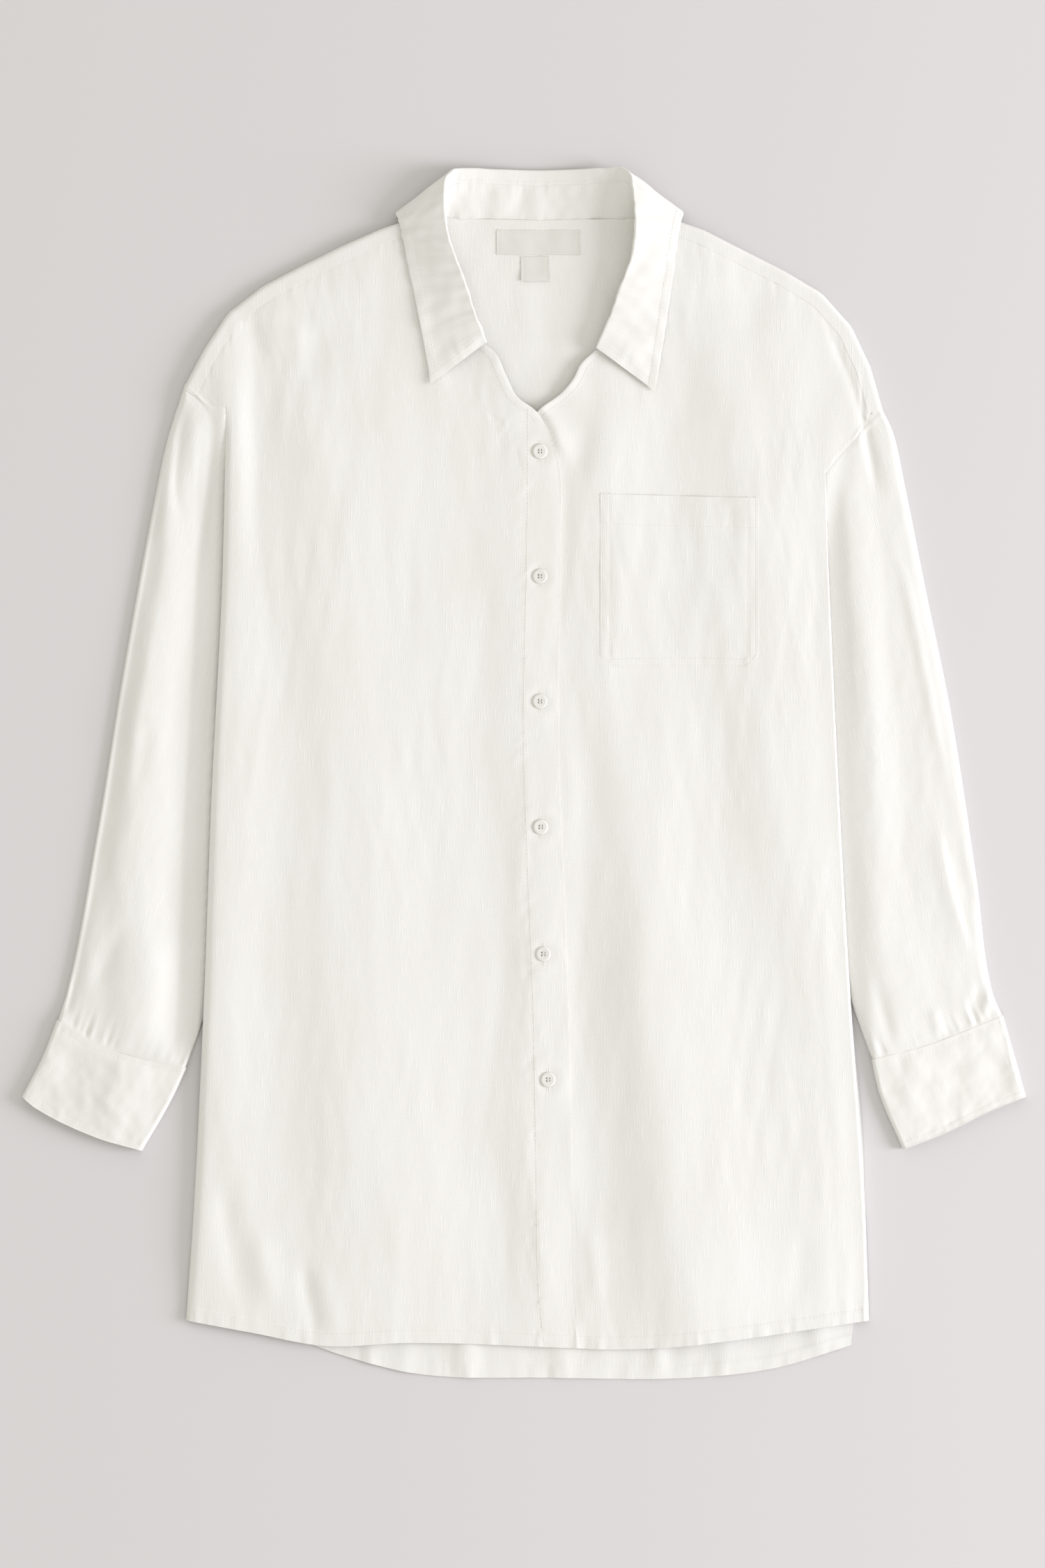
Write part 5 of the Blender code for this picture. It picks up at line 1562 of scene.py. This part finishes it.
def lifted(points):
    """A line moved up off the cloth a little."""
    return points + np.array((0.0, 0.0, UP))


print("length of the over front up its edge:", round(float(lengths(over_net[:, -1])[-1]), 1), "mm")

# %% The stitch group
def make_stitch_group():
    """The group: a slim grain on every evenly spaced place of a line, with uneven lengths."""
    tree = bpy.data.node_groups.new("sewn_line", "GeometryNodeTree")
    add_sockets(tree, "INPUT", {"Lines": "Geometry", "Pitch": "Float", "Length": "Float",
                                "Thickness": "Float", "Seed": "Int", "Finish": "Material"})
    add_sockets(tree, "OUTPUT", {"Stitches": "Geometry"})
    given, result = tree.nodes.new("NodeGroupInput"), tree.nodes.new("NodeGroupOutput")
    curves = tree.nodes.new("GeometryNodeMeshToCurve")
    places = add(tree, "GeometryNodeCurveToPoints", mode="LENGTH")
    grain = tree.nodes.new("GeometryNodeMeshUVSphere")
    grain.inputs["Segments"].default_value = 6
    grain.inputs["Rings"].default_value = 4
    grain.inputs["Radius"].default_value = 0.5
    size = tree.nodes.new("ShaderNodeCombineXYZ")
    uneven = add(tree, "FunctionNodeRandomValue", data_type="FLOAT")
    uneven.inputs[2].default_value, uneven.inputs[3].default_value = 0.86, 1.08
    longer = add(tree, "ShaderNodeMath", operation="MULTIPLY")
    laid = tree.nodes.new("GeometryNodeInstanceOnPoints")
    real = tree.nodes.new("GeometryNodeRealizeInstances")
    finish = tree.nodes.new("GeometryNodeSetMaterial")
    link = tree.links.new
    link(given.outputs["Lines"], curves.inputs[0])
    link(curves.outputs[0], places.inputs["Curve"])
    link(given.outputs["Pitch"], places.inputs["Length"])
    link(given.outputs["Seed"], uneven.inputs["Seed"])
    link(given.outputs["Length"], longer.inputs[0])
    link(uneven.outputs[1], longer.inputs[1])
    link(given.outputs["Thickness"], size.inputs[0])
    link(given.outputs["Thickness"], size.inputs[1])
    link(longer.outputs[0], size.inputs[2])
    link(places.outputs["Points"], laid.inputs["Points"])
    link(places.outputs["Rotation"], laid.inputs["Rotation"])
    link(grain.outputs["Mesh"], laid.inputs["Instance"])
    link(size.outputs[0], laid.inputs["Scale"])
    link(laid.outputs[0], real.inputs[0])
    link(real.outputs[0], finish.inputs["Geometry"])
    link(given.outputs["Finish"], finish.inputs["Material"])
    link(finish.outputs[0], result.inputs[0])
    return tree


SEWN = make_stitch_group()
SOCKETS = {item.name: item.identifier for item in SEWN.interface.items_tree}
print("nodes in the stitch group:", len(SEWN.nodes))

# %% Sew the seams and hems
def sew(name, lines, seed, pitch=2.6, length=2.15, thickness=0.34):
    """Stitches along lines in millimetres, as one plain mesh."""
    points, edges = [], []
    for line in lines:
        edges += [(len(points) + i, len(points) + i + 1) for i in range(len(line) - 1)]
        points += [(x * MM, y * MM, max(z, 0.2) * MM) for x, y, z in line]
    mesh = bpy.data.meshes.new(name)
    mesh.from_pydata(points, edges, [])
    obj = put(name, mesh)
    sewn = obj.modifiers.new("sewn", "NODES")
    sewn.node_group = SEWN
    for key, value in (("Pitch", pitch * MM), ("Length", length * MM), ("Thickness", thickness * MM),
                       ("Seed", seed), ("Finish", thread)):
        sewn[SOCKETS[key]] = value
    plain_mesh(obj)
    obj.data.name = name
    obj.data.shade_smooth()
    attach(obj, "root")
    print(f"{name}: {sum(len(p.vertices) - 2 for p in obj.data.polygons)} triangles")
    return obj


def out_of_roll(x, y, z):
    """True where a line across the body isn't on the turn of a side fold."""
    return side_x(OVER_SIDE_ROWS, y) + 1.5 < x < side_x(UNDER_SIDE_ROWS, y) - 1.5


def in_the_open(x, y, z):
    """True where the under front isn't hidden below the band."""
    return x > line_x(OVER_FRONT_EDGE, y) + 1.0


def straight_on(obj, x, low, high):
    """A straight upright line, laid on the upper side of a piece."""
    tree = surface_under(obj)
    return [(x, y, highest_near(tree, x, y, 0.0) + UP) for y in np.arange(low, high, 2.0)]


HEM_STITCH = HEM - 0.8
sew("stitches_front_over", [
    *kept_where(lifted(line_across(over_net, HEM_STITCH)), out_of_roll),
    *kept_where(lifted(line_up(over_net, -BAND_STITCH)), lambda x, y, z: -421 < y < 202),
    straight_on(front_over, 3.1, 203.0, 269.0),
    *kept_where(lifted(line_up(over_net, -6.0)), lambda x, y, z: 258 < y < 312),
], 1)
sew("stitches_front_under", [
    *kept_where(lifted(line_across(under_net, HEM_STITCH)),
                lambda *p: out_of_roll(*p) and in_the_open(*p)),
    *kept_where(lifted(line_up(under_net, 6.0)), lambda x, y, z: 262 < y < 310),
], 2)
back_hem = lifted(line_across(back_net, HEM_STITCH))
sew("stitches_back", kept_where(back_hem, lambda x, y, z: -228 < x < 238), 3)
sew("stitches_cuffs", [line_across(net, away, True) for net in (cuff_over_net, cuff_under_net)
                       for away in CUFF_STITCHES], 4)
leaf_open = collar_leaf_net[14:]     # from the crest to the free edge
sew("stitches_collar", [
    *kept_where(lifted(line_across(leaf_open, -6.0)), lambda x, y, z: z > 0.6),
    line_up(leaf_open, 6.0)[2:-5], line_up(leaf_open, -6.0)[2:-5],
    line_across(collar_leaf_net[1:], 2.2),
    line_across(collar_stand_net[1:], 2.4),
], 5)
near, far = POCKET_STITCHES
pocket_sewn = [lifted(line_up(pocket_net, away)[skipped:])
               for away, skipped in ((near, 2), (far, 8), (-near, 2), (-far, 8))]
for away in POCKET_STITCHES:
    low, high = POCKET["over"] + away, POCKET["under"] - away
    bottom = lifted(line_across(pocket_net, away))
    pocket_sewn.append(kept_where(bottom, lambda x, y, z: low < x < high)[0])
pocket_sewn.append(lifted(line_across(pocket_net, -POCKET_HEM)))
sew("stitches_pocket", pocket_sewn, 6, pitch=2.4, length=2.0, thickness=0.3)
# A buttonhole is two close rows of stitches, upright below its button
HOLE_HALF = 8.2
HOLE_SIDE = 0.7
holes_sewn = []
for bx, by in BUTTONS:
    for dx in (-HOLE_SIDE, HOLE_SIDE):
        heights = np.arange(by - HOLE_HALF, by + HOLE_HALF + 0.1, 0.8)
        holes_sewn.append([(bx + dx, h, highest_near(front_tree, bx + dx, h, 0.0) - 0.05) for h in heights])
sew("stitches_buttonholes", holes_sewn, 8, pitch=0.62, length=0.55, thickness=0.62)
sew("stitches_labels", [
    lifted(line_up(neck_label_net, 1.6)), lifted(line_up(neck_label_net, -1.6)),
    lifted(line_across(neck_label_net, -1.6)), lifted(line_across(neck_label_net, 1.6)),
    lifted(line_across(size_label_net, -1.4)),
], 7, pitch=2.0, length=1.6, thickness=0.24)

# %% [markdown]
# ## Putting it together
# Every cloth piece stands for its solid, which it hides, and rides on the one body. Its area
# of cloth is printed beside the size it was cut to, all round on a tube.

def area_of(obj):
    """Flat area of the cloth of a piece, in square metres: half of what both its sides have."""
    shape = obj.evaluated_get(bpy.context.evaluated_depsgraph_get()).to_mesh()
    return sum(p.area for p in shape.polygons) / 2


CUTS = (
    # piece, solids, flat width and length in metres, what it rests on, its slot
    (back, ("back",), (0.530, 0.870), ["table_top"], "linen"),
    (front_over, ("front_over",), (0.292, 0.835), [back], "linen"),
    (front_under, ("front_under",), (0.270, 0.835), [back], "linen"),
    (sleeve_over, ("sleeve_over_side",), (0.306, 0.475), ["table_top"], "linen"),
    (sleeve_under, ("sleeve_under_side",), (0.306, 0.465), ["table_top"], "linen"),
    (cuff_over, ("cuff_over_side",), (0.215, 0.072), ["table_top"], "linen_double"),
    (cuff_under, ("cuff_under_side",), (0.215, 0.072), ["table_top"], "linen_double"),
    (collar_stand, ("collar_stand",), (0.265, 0.026), [back], "linen_double"),
    (collar_leaf, ("collar_leaf",), (0.440, 0.064), [front_over, front_under], "linen_double"),
    (pocket, ("pocket",), (0.118, 0.128), [front_under], "linen"),
    (neck_label, ("neck_label",), (0.0615, 0.018), [back], "label_tape"),
    (size_label, ("size_label",), (0.0205, 0.018), [back], "label_tape"),
)
for piece, solids, flat, rests_on, slot in CUTS:
    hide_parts(*solids)
    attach(piece, "root")
    print(f"{piece.name}: {area_of(piece) * 1e4:.0f} square cm of cloth, cut {flat[0] * flat[1] * 1e4:.0f}")
for number, (made, bars) in enumerate(zip(buttons, button_threads), start=1):
    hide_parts(f"button_{number}")
    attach(made, "root")
    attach(bars, "root")

# %% [markdown]
# ## Table, light and camera
# The table is a pale lilac grey. One large soft light stands low on the right, so every fold
# is bright on its right flank and shaded on its left, and a pale sky fills the shadows. The
# camera looks straight down from far away, so the shirt isn't distorted.

# %% Table
TABLE_COLOUR = (0.638, 0.620, 0.622)
TABLE_SIZE = 3.0
TABLE_DROP = 0.0003


def make_table():
    """A wide flat table, a hair below the cloth."""
    bm = bmesh.new()
    bmesh.ops.create_grid(bm, x_segments=2, y_segments=2, size=TABLE_SIZE)
    mesh = mesh_of(bm, "table_top")
    mesh.transform(Matrix.Translation((0.0, 0.0, -TABLE_DROP)))
    mesh.materials.append(new_material("pale_table", TABLE_COLOUR, 0.75))
    put("table_top", mesh)


make_table()
print("table colour:", TABLE_COLOUR)

# %% Light
def soft_light(name, azimuth, elevation, distance, size, power, colour):
    """A round lamp that looks at the shirt from an azimuth (0 is +X) and an elevation."""
    data = bpy.data.lights.new(name, "AREA")
    data.shape = "DISK"
    data.size = size
    data.energy = power
    data.color = colour
    obj = put(name, data)
    a, e = math.radians(azimuth), math.radians(elevation)
    away = Vector((math.cos(a) * math.cos(e), math.sin(a) * math.cos(e), math.sin(e)))
    obj.location = away * distance
    obj.rotation_euler = away.to_track_quat("Z", "Y").to_euler()
    return obj


SKY = (1.0, 0.985, 0.926)
SKY_STRENGTH = 0.835
key = soft_light("window", azimuth=-6.0, elevation=20.0, distance=4.2, size=2.0, power=180.0,
                 colour=(0.885, 0.885, 0.985))
world = bpy.data.worlds.new("studio")
world.use_nodes = True
background = world.node_tree.nodes["Background"]
background.inputs["Color"].default_value = (*SKY, 1.0)
background.inputs["Strength"].default_value = SKY_STRENGTH
bpy.context.scene.world = world
bpy.context.scene.view_settings.view_transform = "Standard"
bpy.context.scene.view_settings.look = "None"
print("light from", [round(a, 2) for a in key.location])

# %% Camera
VIEW_HEIGHT = 1.1544      # what the frame takes in, from bottom to top, in metres
VIEW_CENTRE = (-0.0008, -0.0079)
SHIRT_MIDDLE = 0.006      # height that the frame is measured at
camera_data = bpy.data.cameras.new("camera")
camera_data.sensor_width = 36.0
camera_data.lens = 135.0
camera = put("camera", camera_data)
camera.location = (*VIEW_CENTRE, SHIRT_MIDDLE + VIEW_HEIGHT * camera_data.lens / camera_data.sensor_width)
bpy.context.scene.camera = camera
print("camera", round(camera.location.z, 2), "m above the table")
